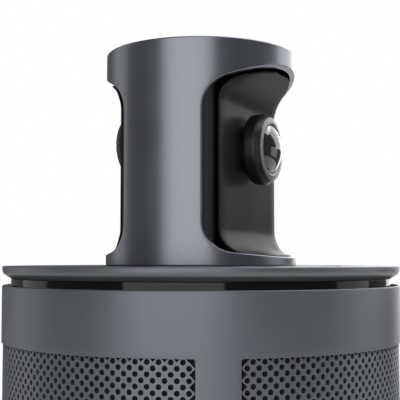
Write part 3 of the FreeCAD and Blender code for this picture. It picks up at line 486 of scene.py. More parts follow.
def opening(skin, centre, outer, inner, outer_loop, inner_loop, border, fillet, rings=8):
    """A stretch of tube wall with an opening in it, between its border and the opening's rounded edge.

    The loops are lists of (angle from centre, height), and all run the same way with the same count."""
    stretch = math.radians(1.0) * outer
    lip = offset_loop(outer_loop, fillet, stretch)

    def ring(radius, loop):
        return [on_drum(radius, centre + angle, height) for angle, height in loop]

    skin.rows([ring(outer, [between(b, e, i / rings) for b, e in zip(border, lip)])
               for i in range(rings + 1)])
    starts = ring(outer, lip)
    edges = ring(outer, outer_loop)
    walls = ring(inner, inner_loop)
    ends = [tuple(Vector(e) + (Vector(w) - Vector(e)).normalized() * fillet) for e, w in zip(edges, walls)]
    turns = 4
    skin.rows([[curve_through(s, e, w, i / turns) for s, e, w in zip(starts, edges, ends)]
               for i in range(turns + 1)])
    skin.rows([ends, walls])
    skin.rows([ring(inner, [between(e, b, i / rings) for b, e in zip(border, inner_loop)])
               for i in range(rings + 1)])


def rectangle(half_angle, bottom, top, across, upward):
    """A closed (angle, height) loop round a rectangle, evenly divided."""
    loop = [(-half_angle + 2 * half_angle * i / across, bottom) for i in range(across)]
    loop += [(half_angle, bottom + (top - bottom) * i / upward) for i in range(upward)]
    loop += [(half_angle - 2 * half_angle * i / across, top) for i in range(across)]
    loop += [(-half_angle, top - (top - bottom) * i / upward) for i in range(upward)]
    return loop


def rounded_rectangle(half_angle, bottom, top, radius, stretch, across, upward):
    """As rectangle, with corners of radius; each corner's arc starts half way round on the side before it."""
    half_arc = 3
    turn_angle = 45.0
    wide = half_angle - radius / stretch
    middle = (bottom + top) / 2
    tall = (top - bottom) / 2 - radius
    loop = []
    for side in range(4):
        count = across if side % 2 == 0 else upward
        straight = count - 2 * half_arc
        turn = math.radians(90 * side)
        first = -135.0 + 90 * side
        run = 2 * (wide if side % 2 == 0 else tall)
        centre = (wide * (1 if side in (1, 2) else -1), middle + tall * (1 if side in (2, 3) else -1))
        far = (centre[0] + run * math.cos(turn), centre[1] + run * math.sin(turn))

        def corner(place, start):
            arc = arc_points(radius, start, start + turn_angle, (0.0, 0.0), half_arc)
            return [(place[0] + x / stretch, place[1] + y) for x, y in arc[:-1]]

        loop += corner(centre, first)
        start = (centre[0] + radius * math.sin(turn) / stretch, centre[1] - radius * math.cos(turn))
        for i in range(straight + 1):
            share = run * i / straight
            loop.append((start[0] + share * math.cos(turn), start[1] + share * math.sin(turn)))
        loop += corner(far, first + turn_angle)[1:]
    return loop


# How upright a face's normal is for the face to count as level
LEVEL = 0.9999


def cut_away(piece, skin):
    """Takes a skin's shape out of a piece."""
    cutter = added("cutter", mesh_of("cutter", skin, CUTTER_WELD))
    change = piece.modifiers.new("cut", "BOOLEAN")
    change.object = cutter
    change.solver = "EXACT"
    graph = bpy.context.evaluated_depsgraph_get()
    result = bpy.data.meshes.new_from_object(piece.evaluated_get(graph))
    piece.modifiers.clear()
    piece.data = result
    shade(result, SHARP)
    for polygon in result.polygons:
        if abs(polygon.normal.z) > LEVEL:
            polygon.use_smooth = False
    bpy.data.objects.remove(cutter)


# ---------------------------------------------------------------- camera and light

CAMERA_PLACE = (-220.4, -102.4, 217.6)
CAMERA_HEADING = (0.90651, 0.42225)
CAMERA_PITCH = 3.8
CAMERA_LENS = 81.0
SENSOR = 36.0
BACKDROP = (1.0, 1.0, 1.0)
SURROUND = (0.155, 0.16, 0.172)


def aim_camera():
    """The photographer's place: a little above the disc, looking slightly up."""
    data = bpy.data.cameras.new("camera")
    data.lens = CAMERA_LENS
    data.sensor_width = SENSOR
    data.clip_start = 0.01
    data.clip_end = 20.0
    camera = added("camera", data)
    camera.location = Vector(CAMERA_PLACE) * MM
    rise = math.tan(math.radians(CAMERA_PITCH)) * math.hypot(*CAMERA_HEADING)
    camera.rotation_euler = Vector((*CAMERA_HEADING, rise)).to_track_quat("-Z", "Y").to_euler()
    bpy.context.scene.camera = camera


def light_world():
    """A plain white backdrop to look at, and a dimmer grey room for everything else."""
    world = bpy.data.worlds.new("studio")
    world.use_nodes = True
    bpy.context.scene.world = world
    nodes = world.node_tree.nodes
    links = world.node_tree.links
    nodes.clear()
    path = nodes.new("ShaderNodeLightPath")
    mix = nodes.new("ShaderNodeMixShader")
    for socket, colour in ((1, SURROUND), (2, BACKDROP)):
        background = nodes.new("ShaderNodeBackground")
        background.inputs["Color"].default_value = (*colour, 1.0)
        links.new(background.outputs["Background"], mix.inputs[socket])
    output = nodes.new("ShaderNodeOutputWorld")
    links.new(path.outputs["Is Camera Ray"], mix.inputs["Fac"])
    links.new(mix.outputs["Shader"], output.inputs["Surface"])
    bpy.context.scene.view_settings.view_transform = "Standard"


def softbox(name, azimuth, elevation, distance, width, height, radiance):
    """A soft rectangular light that faces the tower's foot; azimuth is from the camera's side."""
    toward = math.atan2(-CAMERA_HEADING[1], -CAMERA_HEADING[0]) + math.radians(azimuth)
    rise = math.radians(elevation)
    direction = Vector((math.cos(toward) * math.cos(rise), math.sin(toward) * math.cos(rise), math.sin(rise)))
    data = bpy.data.lights.new(name, "AREA")
    data.shape = "RECTANGLE"
    data.size = width
    data.size_y = height
    data.energy = radiance * math.pi * width * height
    lamp = added(name, data)
    target = Vector((0.0, 0.0, TOWER_BASE * MM))
    lamp.location = target + direction * distance
    lamp.rotation_euler = (-direction).to_track_quat("-Z", "Y").to_euler()
    lamp.visible_camera = False


# Azimuth, elevation, distance, width, height and radiance of each light
LIGHTS = {
    "front_soft": (-15.6, 8.0, 1.5, 1.6, 1.5, 1.36),
    "left_soft": (-113.0, 8.0, 1.5, 0.75, 1.4, 0.55),
    "right_soft": (138.0, 27.0, 1.5, 1.9, 1.1, 1.5),
    "right_low": (98.0, 0.0, 1.5, 0.8, 0.5, 0.7),
    "edge_low": (160.0, 4.0, 1.5, 1.0, 0.7, 1.65),
    "high_soft": (112.0, 56.0, 1.3, 1.1, 0.8, 2.6),
    "overhead_soft": (30.0, 74.0, 1.2, 0.9, 0.9, 1.3),
}


def light_studio():
    """All the lights."""
    for name, values in LIGHTS.items():
        softbox(name, *values)


def lay_floor():
    """A wide pale disc whose top is at the foot of the object."""
    radius = 900.0
    thickness = 8.0
    skin = lathe([(0, 0, 0), (radius, 0, 1.0), (radius, -thickness, 0), (0, -thickness, 0)], 128)
    mesh = mesh_of("floor", skin, 0.0)
    mesh.materials.append(FLOOR)
    added("floor", mesh)


# ---------------------------------------------------------------- tower

# A window's outline in the plane of the lens axis: its flat depth from the tower's axis, then the height,
# radius and slope of the arc that leads down and out, and of the one that leads up and out.
SHELL_WINDOW = {"flat": 10.8, "low": (10.8, 7.5, 8.0), "high": (38.9, 9.0, 25.0)}
LINER_WINDOW = {"flat": 12.65, "low": (1.8, 0.8, 0.0), "high": (51.7, 0.8, 0.0)}
SLOPE_STEPS = 16
ARC_STEPS = 12
FLAT_STEPS = 10
TOWER_RIM = 0.45
QUARTER = 90.0


def window_arc(window, end):
    """A window's lower or upper arc as (depth, height) points, going up."""
    height, radius, slope = window[end]
    angles = (270.0 - slope, 180.0) if end == "low" else (180.0, 90.0 + slope)
    return arc_points(radius, *angles, (window["flat"] + radius, height), ARC_STEPS)


def window_side(window, radius):
    """One side of a window's edge on a cylinder of radius, as (angle from the lens, height), going up."""
    side = []
    for end in ("low", "high"):
        arc = window_arc(window, end)
        slope = math.tan(math.radians(window[end][2])) * (-1 if end == "low" else 1)
        outermost = arc[0] if end == "low" else arc[-1]
        turn = math.acos(outermost[0] / radius)
        run = [(math.degrees(turn) * i / SLOPE_STEPS,
                outermost[1] + (radius * math.cos(turn * i / SLOPE_STEPS) - outermost[0]) * slope)
               for i in range(SLOPE_STEPS)]
        on_arc = [(math.degrees(math.acos(depth / radius)), height) for depth, height in arc]
        if end == "low":
            side += run + on_arc
            below = on_arc[-1]
        else:
            side += [between(below, on_arc[0], i / FLAT_STEPS) for i in range(1, FLAT_STEPS)]
            side += on_arc + run[::-1]
    return side


def border_side(top, bottom):
    """The border that goes with window_side: out along the bottom, up and back in along the top."""
    across = SLOPE_STEPS + ARC_STEPS // 2
    upward = FLAT_STEPS + ARC_STEPS
    out = [(QUARTER * i / across, bottom) for i in range(across)]
    up = [(QUARTER, bottom + (top - bottom) * i / upward) for i in range(upward)]
    back = [(angle, top) for angle, _ in out[::-1]]
    return out + up + [(QUARTER, top)] + back


def whole_loop(side):
    """A closed loop from its right side and the mirror image of it."""
    return side + [(-angle, height) for angle, height in side[::-1]][1:-1]


def tower_wall(node, window, thickness, fillet):
    """A tube with a front and a rear window, both ends rounded."""
    skin = Skin()
    radius, _, top = high(node)
    inner = radius - thickness
    base = TOWER_BASE
    rim = TOWER_RIM
    outer_loop = whole_loop(window_side(window, radius))
    inner_loop = whole_loop(window_side(window, inner))
    border = whole_loop(border_side(top - base - rim, rim))

    def lifted(loop):
        return [(angle, base + level) for angle, level in loop]

    for centre in (FRONT, REAR):
        opening(skin, centre, radius, inner, lifted(outer_loop), lifted(inner_loop), lifted(border), fillet)
    angles = sorted({round(centre + angle, 6) for centre in (FRONT, REAR)
                     for angle, level in border if level == rim})
    angles = [angle for angle in angles if angle < angles[0] + 360.0 - 1e-3]
    for level, way in ((base, 1), (top, -1)):
        rounding = rounded([(inner, level + way * rim, 0), (inner, level, rim * 0.6),
                            (radius, level, rim * 0.9), (radius, level + way * rim, 0)])
        skin.rows([[on_drum(across, angle, up) for angle in angles] for across, up in rounding])
    stand_in(node, skin, "head")


BEZEL_WINDOW = {"flat": 14.1, "low": (9.5, 6.5, 5.0), "high": (40.6, 7.0, 25.0)}
BEZEL_HALF_WIDTH = 19.1
BEZEL_THICKNESS = 0.45
BEZEL_EDGE = 0.2
BEZEL_REACH = LINER_RADIUS - 0.05


def bezel_line():
    """The insert's section through the lens axis going up, as ((depth, height), direction into the sheet)."""
    run_steps = 4
    flat_steps = 14
    stop = BEZEL_REACH - 0.4
    line = []
    for end in ("low", "high"):
        height, bend, slope = BEZEL_WINDOW[end]
        centre = (BEZEL_WINDOW["flat"] + bend, height)
        arc = [(point, ((centre[0] - point[0]) / bend, (centre[1] - point[1]) / bend))
               for point in window_arc(BEZEL_WINDOW, end)]
        outermost, normal = arc[0] if end == "low" else arc[-1]
        length = stop - outermost[0]
        rise = math.tan(math.radians(slope)) * (-1 if end == "low" else 1)
        run = [((outermost[0] + length * i / run_steps, outermost[1] + length * i / run_steps * rise), normal)
               for i in range(1, run_steps + 1)]
        if end == "low":
            line += run[::-1] + arc
        else:
            start, flat_normal = line[-1]
            line += [(between(start, arc[0][0], i / flat_steps), flat_normal) for i in range(1, flat_steps)]
            line += arc + run
    return line


def bezel(node, place=None):
    """The black insert round a lens: a waisted sheet, flat round the barrel and flared above and below."""
    across_steps = 12
    turns = [math.radians(QUARTER * i / 4) for i in range(5)]
    drops = [BEZEL_EDGE * (1 - math.sin(turn)) for turn in turns]
    front_rows = []
    back_rows = []
    for (depth, level), normal in bezel_line():
        wide = min(BEZEL_HALF_WIDTH, math.sqrt(BEZEL_REACH ** 2 - depth ** 2))
        offsets = [-wide + BEZEL_EDGE * (1 - math.cos(turn)) for turn in turns]
        inside = wide - BEZEL_EDGE
        across = list(zip(offsets, drops))
        across += [(-inside + 2 * inside * i / across_steps, 0.0) for i in range(1, across_steps)]
        across += [(-x, drop) for x, drop in zip(offsets[::-1], drops[::-1])]
        for rows, sunk in ((front_rows, [drop for x, drop in across]),
                           (back_rows, [BEZEL_THICKNESS] * len(across))):
            rows.append([(x, normal[0] * down - depth, TOWER_BASE + level - normal[1] * down)
                         for (x, drop), down in zip(across, sunk)])
    skin = Skin()
    skin.rows(front_rows, closed=False)
    skin.rows(back_rows, closed=False)
    for side in (0, -1):
        skin.rows([[row[side] for row in front_rows], [row[side] for row in back_rows]], closed=False)
        skin.rows([front_rows[side], back_rows[side]], closed=False)
    stand_in(node, skin, "head", place)


def lens_places():
    """The front and rear lens frames: +Z along the lens, origin where the front lens has the tower's axis."""
    frames = {}
    for side, outward, corner in (("front", -1, low), ("rear", 1, high)):
        barrel = "lens_barrel_" + side
        shift = moved(0.0, corner(barrel).y - outward * LENS_FRONT, centre_of(barrel).z)
        frames[side] = shift @ Matrix.Rotation(math.radians(-90 * outward), 4, "X")
    return frames


# Lens radii, then distances from the tower's axis along the lens
LENS_BORE = 5.0
LENS_TUBE = 5.9
LENS_COLLAR = 9.3
LENS_SEAT = 6.5
TUBE_BACK = 7.4
COLLAR_BACK = 15.3
SEAT_FLOOR = 17.5
LENS_FACE = 20.4


def build_lens(side, place):
    """Barrel, front ring, dome and the stepped dark tunnel inside."""
    barrel = lathe([(LENS_BORE, TUBE_BACK, 0), (LENS_TUBE, TUBE_BACK, 0.1), (LENS_TUBE, COLLAR_BACK, 0),
                    (LENS_COLLAR - 0.8, COLLAR_BACK, 0.8), (LENS_COLLAR, COLLAR_BACK + 0.9, 1.2),
                    (LENS_COLLAR, LENS_FACE - 1.6, 1.4), (LENS_COLLAR - 1.0, LENS_FACE, 0.3),
                    (LENS_SEAT, LENS_FACE, 0.1), (LENS_SEAT, SEAT_FLOOR, 0), (LENS_BORE, SEAT_FLOOR, 0)],
                   128, 6)
    stand_in("lens_barrel_" + side, barrel, "head", place)
    bore = LENS_SEAT - 0.1
    outer = 8.25
    back = LENS_FACE - 0.2
    ring = lathe([(bore, back, 0.05), (outer, back, 0.05), (outer, LENS_FACE + 0.1, 0.15),
                  (bore + 0.5, LENS_FACE + 0.35, 0.5), (bore, LENS_FACE + 0.05, 0.08)], 128)
    stand_in("lens_ring_" + side, ring, "head", place)
    build_dome(side, place)
    ledges = []
    for number, radius in enumerate((5.3, 4.3, 3.4, 2.6)):
        level = LENS_FACE - 1.0 - 0.7 * number
        ledges += [(radius, level, 0.05), (radius - 0.1, level - 0.6, 0.1)]
    narrowest = ledges.pop()[0]
    cup_back = 16.5
    neck = LENS_BORE - 0.1
    cup = lathe([(bore, LENS_FACE - 0.9, 0.05), *ledges, (narrowest, cup_back, 0), (neck, cup_back, 0),
                 (neck, SEAT_FLOOR + 0.05, 0), (bore, SEAT_FLOOR + 0.05, 0)], 96, 2)
    make("lens_cup_" + side, cup, "barrel_black", "head", (), place)


def build_dome(side, place):
    """The front glass, a thin meniscus with both faces about one centre."""
    apex = -low("lens_dome_front").y
    edge_radius = 6.2
    rise = 2.3
    thickness = 0.45
    foot = 19.6
    outer = (edge_radius ** 2 + rise ** 2) / (2 * rise)
    centre = apex - outer
    inner = outer - thickness
    steps = 20
    profile = []
    for radius, reach in ((outer, edge_radius), (inner, edge_radius - thickness)):
        sweep = math.degrees(math.asin(reach / radius))
        arc = arc_points(radius, 90.0, 90.0 - sweep, (0.0, centre), steps)
        if radius == outer:
            profile += arc + [(reach, foot)]
        else:
            profile += [(reach, foot)] + arc[::-1]
    skin = Skin()
    skin.rows([around(radius, height, 96) for radius, height in profile])
    stand_in("lens_dome_" + side, skin, "head", place, sharp=40.0)


def build_gap_shade_strips():
    """Near-black strips inside the windows that close the gaps between the liner and the inserts: painted
    shade, standing in for the shadow in those gaps.
    """
    inner, outer, back, front = 13.0, 19.2, 12.0, 12.35
    rim = 0.05
    levels = (TOWER_BASE + 1.6, TOWER_BASE + 51.5)
    for number, (across, along) in enumerate(((1, 1), (-1, 1), (1, -1), (-1, -1)), 1):
        corners = ((inner, back), (outer, back), (outer, front), (inner, front))
        outline = rounded([(across * x, along * y, rim) for x, y in corners])
        skin = Skin()
        skin.rows([[(x, y, level) for x, y in outline] for level in levels])
        for level in levels:
            skin.sheet([(x, y, level) for x, y in outline])
        make("painted_gap_shade_" + str(number), skin, "dark_metal", "head", finish=PAINTED_GAP_SHADE)


def build_cap():
    """The tower's glossy lid, very slightly dished."""
    base = low("head_cap").z
    radius, _, top = high("head_cap")
    cap = lathe([(0, base, 0), (radius, base, 0.1), (radius, top - 0.25, 0.3), (radius - 1.2, top, 1.5),
                 (0, top - 0.15, 0)])
    stand_in("head_cap", cap, "head")


def build_tower():
    """Everything above the disc."""
    tower_wall("head_shell", SHELL_WINDOW, 1.3, 0.25)
    tower_wall("inner_sleeve", LINER_WINDOW, 1.2, 0.2)
    bezel("lens_bezel_front")
    bezel("lens_bezel_rear", Matrix.Rotation(math.pi, 4, "Z"))
    for side, place in lens_places().items():
        build_lens(side, place)
    build_gap_shade_strips()
    build_cap()


# ---------------------------------------------------------------- shoulder disc and keys

KEY_NODES = ("key_power", "key_volume_down", "key_microphone", "key_camera", "key_view_mode",
             "key_volume_up")
KEY_HOLE = 4.5
MIC_CIRCLE = 43.5
MIC_HOLE = 0.7
MIC_COUNT = 6


def drill(place, radius, level, depth, flare, over, segments=48):
    """The shape of a hole down from level, or up from it if depth is negative, with a flared edge."""
    way = math.copysign(1.0, depth)
    profile = [(0.0, level - depth), (radius, level - depth), (radius, level - way * flare),
               (radius + flare + over, level + way * over), (0.0, level + way * over)]
    skin = Skin()
    skin.rows([around(r, z, segments, place) for r, z in profile])
    return skin


def build_shoulder():
    """The disc, its edge chamfered and undercut, with the key and microphone holes."""
    inner = 22.0
    undercut = 50.0
    drop = 1.4
    depth = DISC_THICKNESS + 1.0
    over = 1.0
    disc = lathe([(inner, DISC_BASE, 0.1), (undercut - 0.5, DISC_BASE, 0), (undercut, DISC_BASE, 0.12),
                  (DISC_RADIUS, DISC_BASE + drop, 1.6), (DISC_RADIUS, DISC_TOP, 0.25),
                  (DISC_RADIUS - 0.6, DISC_TOP, 0), (inner + 0.4, DISC_TOP, 0), (inner, DISC_TOP, 0.1)],
                 256, 6)
    piece = stand_in("shoulder_plate", disc, "head", finish=SHADED_DISC_METAL)
    for node in KEY_NODES:
        cut_away(piece, drill(centre_of(node), KEY_HOLE, DISC_TOP, depth, 0.15, over))
    for i in range(MIC_COUNT):
        place = on_drum(MIC_CIRCLE, 360.0 * i / MIC_COUNT, 0.0)
        cut_away(piece, drill(place, MIC_HOLE, DISC_TOP, depth, 0.1, over, 24))


def build_keys():
    """Dished caps on wider flanges."""
    cap = 4.2
    flange = 1.0
    for node in KEY_NODES:
        x, y, base = low(node)
        right, back, top = high(node)
        wide = (right - x) / 2
        skin = lathe([(0, base, 0), (wide, base, 0), (wide, base + flange, 0.1), (cap, base + flange, 0.05),
                      (cap, top - 0.02, 0.3), (cap - 0.9, top, 1.0), (0, top - 0.12, 0)], 64)
        place = moved((x + right) / 2, (y + back) / 2, 0.0)
        stand_in(node, skin, node, place)


def stroke(skin, points, width, low_level, high_level):
    """A raised line of constant width through points, with square ends."""
    sides = ([], [])
    for i, point in enumerate(points):
        here = Vector(point)
        before = Vector(points[max(i - 1, 0)])
        after = Vector(points[min(i + 1, len(points) - 1)])
        along = (after - before).normalized()
        for side, way in zip(sides, (1, -1)):
            side.append((here.x - along.y * way * width / 2, here.y + along.x * way * width / 2))
    outline = sides[0] + sides[1][::-1]
    skin.rows([[(x, y, level) for x, y in outline] for level in (low_level, high_level)])
    strip = [[(x, y, high_level) for x, y in side] for side in sides]
    skin.rows(strip, closed=False)


def box_points(half_width, half_height, centre=(0.0, 0.0)):
    """A closed rectangle of points that starts and ends in the middle of its lower side."""
    x, y = centre
    return [(x, y - half_height), (x + half_width, y - half_height), (x + half_width, y + half_height),
            (x - half_width, y + half_height), (x - half_width, y - half_height), (x, y - half_height)]


# Each key's symbol as lines in the key's own plane, +Y away from the tower
SYMBOLS = {
    "key_power": [arc_points(1.5, 120, 420), [(0, 0.2), (0, 2.0)]],
    "key_volume_down": [[(-1.5, 0), (1.5, 0)]],
    "key_volume_up": [[(-1.5, 0), (1.5, 0)], [(0, -1.5), (0, 1.5)]],
    "key_microphone": [arc_points(0.75, 0, 180, (0, 0.9)) + [(-0.75, 0.2)]
                       + arc_points(0.75, 180, 360, (0, 0.2)),
                       arc_points(1.4, 190, 350, (0, 0.3)), [(0, -1.1), (0, -1.9)],
                       [(-0.8, -1.9), (0.8, -1.9)]],
    "key_camera": [box_points(1.2, 1.0, (-0.5, 0)), [(0.9, 0.2), (2.0, 0.9)], [(0.9, -0.2), (2.0, -0.9)],
                   [(2.0, -1.0), (2.0, 1.0)]],
    "key_view_mode": [box_points(1.9, 1.3), [(0, -1.3), (0, 1.3)], [(0, 0), (1.9, 0)]],
}
SYMBOL_LINE = 0.32


def build_symbols():
    """Printed symbols on the key caps, each turned to be read from outside the disc."""
    for node, lines in SYMBOLS.items():
        x, y, _ = centre_of(node)
        top = high(node).z
        skin = Skin()
        for line in lines:
            stroke(skin, line, SYMBOL_LINE, top - 0.25, top - 0.04)
        place = moved(x, y, 0.0) @ Matrix.Rotation(math.atan2(y, x) + math.pi / 2, 4, "Z")
        make(node + "_symbol", skin, "key_plastic", node, (), place, finish=PRINT)


# ---------------------------------------------------------------- neck, sleeve and grille

def build_neck():
    """The glossy ring in the groove under the disc."""
    base = low("light_ring").z
    top = DISC_BASE - 0.05
    outer = high("light_ring").x
    bore = 47.0
    ring = lathe([(bore, base, 0), (outer, base, 0.2), (outer, top, 0.12), (bore, top, 0.1)], 256)
    stand_in("light_ring", ring, "base")


ZONE_HALF = (ZONE_ANGLE - STRIP_ANGLE) / 2
SLEEVE_THICKNESS = 0.4
SOCKET_HALF_WIDTH = 30.5
SOCKET_BASE = 11.5
SOCKET_TOP = 30.5
BAND_TOP = 34.0
BAND_BASE = 4.0
CROWN_BASE = 204.0


def build_sleeve():
    """The plain part of the sleeve: crown, strips between grilles, and the band with the socket window."""
    skin = Skin()
    inner = DRUM_RADIUS - SLEEVE_THICKNESS
    stretch = math.radians(1.0) * DRUM_RADIUS
    across = round(ZONE_ANGLE / STEP_ANGLE)
    upward = 24
    half_zone = ZONE_ANGLE / 2
    border = rectangle(half_zone, BAND_TOP, CROWN_BASE, across, upward)
    edge = rounded_rectangle(ZONE_HALF, GRILLE_BASE, GRILLE_TOP, 0.6, stretch, across, upward)
    for centre in ZONE_CENTRES:
        opening(skin, centre, DRUM_RADIUS, inner, edge, edge, border, 0.12, rings=4)
    socket_half = math.degrees(math.asin(SOCKET_HALF_WIDTH / DRUM_RADIUS))
    border = rectangle(half_zone, BAND_BASE, BAND_TOP, across, upward)
    edge = rounded_rectangle(socket_half, SOCKET_BASE, SOCKET_TOP, 1.2, stretch, across, upward)
    opening(skin, REAR, DRUM_RADIUS, inner, edge, edge, border, 0.2, rings=4)
    angles = [REAR + half_zone + STEP_ANGLE * i for i in range(2 * across + 1)]
    levels = [BAND_BASE + (BAND_TOP - BAND_BASE) * i / upward for i in range(upward + 1)]
    for radius in (DRUM_RADIUS, inner):
        skin.rows([[on_drum(radius, angle, level) for angle in angles] for level in levels], closed=False)
    whole = [STEP_ANGLE * i for i in range(round(360.0 / STEP_ANGLE))]
    for seam, level, rounding in ((CROWN_BASE, DRUM_TOP, 0.35), (BAND_BASE, DRUM_BASE, 0.2)):
        ends = rounded([(inner, seam, 0), (inner, level, 0.1), (DRUM_RADIUS, level, rounding),
                        (DRUM_RADIUS, seam, 0)])
        skin.rows([[on_drum(radius, angle, height) for angle in whole] for radius, height in ends])
    stand_in("body_sleeve", skin, "base", finish=SHADED_DRUM_METAL)


HOLE_PITCH = 2.6
HOLE_RADIUS = 0.66
HOLE_SIDES = 8
PANEL_THICKNESS = 0.6
PANEL_MARGIN = 1.2


def build_grille(index, centre):
    """A perforated panel behind one opening of the sleeve: round holes in staggered rows."""
    outer = DRUM_RADIUS - SLEEVE_THICKNESS - 0.02
    inner = outer - PANEL_THICKNESS
    half = HOLE_PITCH / 2
    columns = math.floor((math.radians(ZONE_HALF) * outer + PANEL_MARGIN) / half)
    rows = math.floor((GRILLE_TOP - GRILLE_BASE + 2 * PANEL_MARGIN) / half)
    middle = (GRILLE_TOP + GRILLE_BASE) / 2
    points = []
    faces = []
    lattice = {}

    def spot(along, up):
        for radius in (outer, inner):
            points.append(on_drum(radius, centre + math.degrees(along / outer), middle + up))
        return len(points) - 2

    def corner(i, j):
        if (i, j) not in lattice:
            lattice[i, j] = spot(i * half, (j - rows / 2) * half)
        return lattice[i, j]

    directions = ((1, 0), (0, 1), (-1, 0), (0, -1))
    per_side = HOLE_SIDES // 4
    for i in range(1 - columns, columns):
        for j in range(1, rows):
            if (i + j) % 2:
                continue
            corners = [corner(i + a, j + b) for a, b in directions]
            place = (i * half, (j - rows / 2) * half)
            hole = [spot(*point) for point in arc_points(HOLE_RADIUS, 0.0, 360.0, place, HOLE_SIDES)[:-1]]
            for q in range(4):
                rim = [hole[(per_side * (q + 1) - k) % HOLE_SIDES] for k in range(per_side + 1)]
                outline = [corners[q], corners[(q + 1) % 4]] + rim
                faces.append(tuple(outline))
                faces.append(tuple(point + 1 for point in outline[::-1]))
            for here, beside in zip(hole, hole[1:] + hole[:1]):
                faces.append((here, here + 1, beside + 1, beside))
    skin = Skin()
    skin.points = points
    skin.faces = faces
    make("grille_panel_" + str(index), skin, "slate_metal", "base", weld=0.0, finish=SHADED_DRUM_METAL)


# ---------------------------------------------------------------- base

LEG_ANGLES = (20, 160, 225, 315)
LEG_CIRCLE = 33.5
RECESS_RADIUS = 3.1
RECESS_DEPTH = 2.0
THREAD_PITCH = 1.27


def build_base():
    """The rubber foot, and the base plate with its screw recesses."""
    foot_outer, _, foot_top = high("foot_ring")
    foot_inner = 38.0
    foot = lathe([(foot_inner, 0, 0.6), (foot_outer, 0, 0.6), (foot_outer, foot_top, 0.2),
                  (foot_inner, foot_top, 0.2)])
    stand_in("foot_ring", foot, "base")
    flange, _, boss_top = high("base_plate")
    under = low("base_plate").z
    top = 6.0
    inside = DRUM_RADIUS - 1.05
    bore = 6.0
    boss = 10.0
    plate = lathe([(bore, under, 0.15), (bore + 0.5, under, 0), (flange - 0.6, under, 0),
                   (flange, under, 0.3), (flange, DRUM_BASE, 0), (inside, DRUM_BASE, 0), (inside, top, 0.1),
                   (boss, top, 0), (boss, boss_top, 0.2), (bore, boss_top, 0.1)])
    piece = stand_in("base_plate", plate, "base")
    for angle in LEG_ANGLES:
        place = on_drum(LEG_CIRCLE, angle, 0.0)
        cut_away(piece, drill(place, RECESS_RADIUS, under, -RECESS_DEPTH, 0.25, 1.0))
    build_thread()


def build_thread():
    """The brass insert in the base plate, with the grooves of its camera thread."""
    base = low("tripod_insert").z
    top = high("tripod_insert").z
    outer = high("tripod_insert").x
    wall = 2.55
    groove = 0.55
    end = top - 1.0
    outline = [(outer, base, 0.2), (outer, top, 0.2), (0, top, 0), (0, end, 0), (wall, end, 0)]
    level = end - THREAD_PITCH / 2
    while level > base + THREAD_PITCH / 2:
        outline += [(wall + groove, level, 0.08), (wall, level - THREAD_PITCH / 2, 0.08)]
        level -= THREAD_PITCH
    outline += [(wall, base + 0.5, 0), (wall + 0.6, base, 0.1)]
    stand_in("tripod_insert", lathe(outline, 96, 2), "base")


# ---------------------------------------------------------------- sockets

def bar(skin, ends, width, thickness):
    """A bevelled bar with one end at each of two points, its width across X."""
    start, end = (Vector(point) for point in ends)
    along = (end - start).normalized()
    rise = along.cross(Vector((1.0, 0.0, 0.0))).normalized()
    rim = min(width, thickness) * 0.25
    half_width = width / 2
    half = thickness / 2
    outline = rounded([(-half_width, -half, rim), (half_width, -half, rim), (half_width, half, rim),
                       (-half_width, half, rim)], 2)
    loops = [[tuple(point + Vector((x, 0.0, 0.0)) + rise * y) for x, y in outline] for point in (start, end)]
    skin.rows(loops)
    for loop in loops:
        skin.sheet(loop)


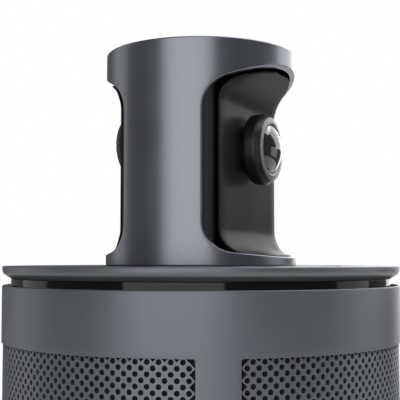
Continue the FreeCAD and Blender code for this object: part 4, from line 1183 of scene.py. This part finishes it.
def build_contacts():
    """Gold contacts in the network, video and USB-C sockets, and the rings of the two round ones."""
    build_network_contacts()
    edge_gap = 0.38
    for node, count, pitch, depth in (("hdmi_port", 10, 1.0, 8.6), ("usb_c_port", 8, 0.72, 5.6)):
        middle = centre_of(node)
        face = high(node).y
        skin = Skin()
        for i in range(count):
            x = middle.x + (i - (count - 1) / 2) * pitch
            for z in (middle.z - edge_gap, middle.z + edge_gap):
                bar(skin, ((x, face - 1.4, z), (x, face - depth, z)), pitch * 0.45, 0.1)
        make(node + "_contacts", skin, "socket_steel", "base", finish=GOLD)
    for node, bore, outer, finish in (("audio_jack", 1.8, 2.6, GOLD), ("power_jack", 3.1, 3.7, None)):
        middle = centre_of(node)
        ring = lathe([(bore - 0.1, -0.6, 0), (outer, -0.6, 0), (outer, 0.14, 0.1), (bore, 0.14, 0.1),
                      (bore - 0.1, -0.2, 0)], 64)
        place = moved(middle.x, high(node).y, middle.z) @ Matrix.Rotation(-math.pi / 2, 4, "X")
        make(node + "_ring", ring, "socket_steel", "base", (), place, finish=finish)


def build_network_contacts():
    """Eight springs, each flat under the socket's ceiling and then slanting down inside."""
    count = 8
    pitch = 1.1
    width = 0.45
    middle = centre_of("ethernet_jack")
    face = high("ethernet_jack").y
    ceiling = middle.z + 4.0
    skin = Skin()
    for i in range(count):
        x = middle.x + (i - (count - 1) / 2) * pitch
        bend = (x, face - 3.0, ceiling)
        bar(skin, (bend, (x, face - 9.5, ceiling - 3.1)), width, 0.25)
        bar(skin, ((x, face - 1.6, ceiling), bend), width, 0.2)
    make("ethernet_contacts", skin, "socket_steel", "base", finish=GOLD)


# Bevel widths of the CAD nodes that show
SOFT_NODES = {"port_panel": 0.25, "ethernet_jack": 0.12, "hdmi_port": 0.08, "usb_c_port": 0.06,
              "audio_jack": 0.1, "power_jack": 0.1, "base_screws": 0.08, "camera_frame": 0.1,
              "main_board": 0.05}


def soften_frame():
    """Rounds the sharp edges of the CAD nodes that show, leaving their meshes as they are."""
    for node, width in SOFT_NODES.items():
        thing = frame["nodes"][node]
        weld = thing.modifiers.new("weld", "WELD")
        weld.merge_threshold = 0.01 * MM
        bevel = thing.modifiers.new("bevel", "BEVEL")
        bevel.width = width * MM
        bevel.segments = 2
        bevel.limit_method = "ANGLE"
        bevel.angle_limit = math.radians(40.0)


# ---------------------------------------------------------------- the whole

def finish_frame():
    """Gives every CAD node its slot's finish."""
    for node, thing in frame["nodes"].items():
        for place in thing.material_slots:
            place.material = FINISHES[SLOTS[node]]


finish_frame()
soften_frame()
aim_camera()
light_world()
light_studio()
lay_floor()
build_tower()
build_shoulder()
build_keys()
build_symbols()
build_neck()
build_sleeve()
for number, middle_angle in enumerate(ZONE_CENTRES, 1):
    build_grille(number, middle_angle)
build_base()
build_contacts()
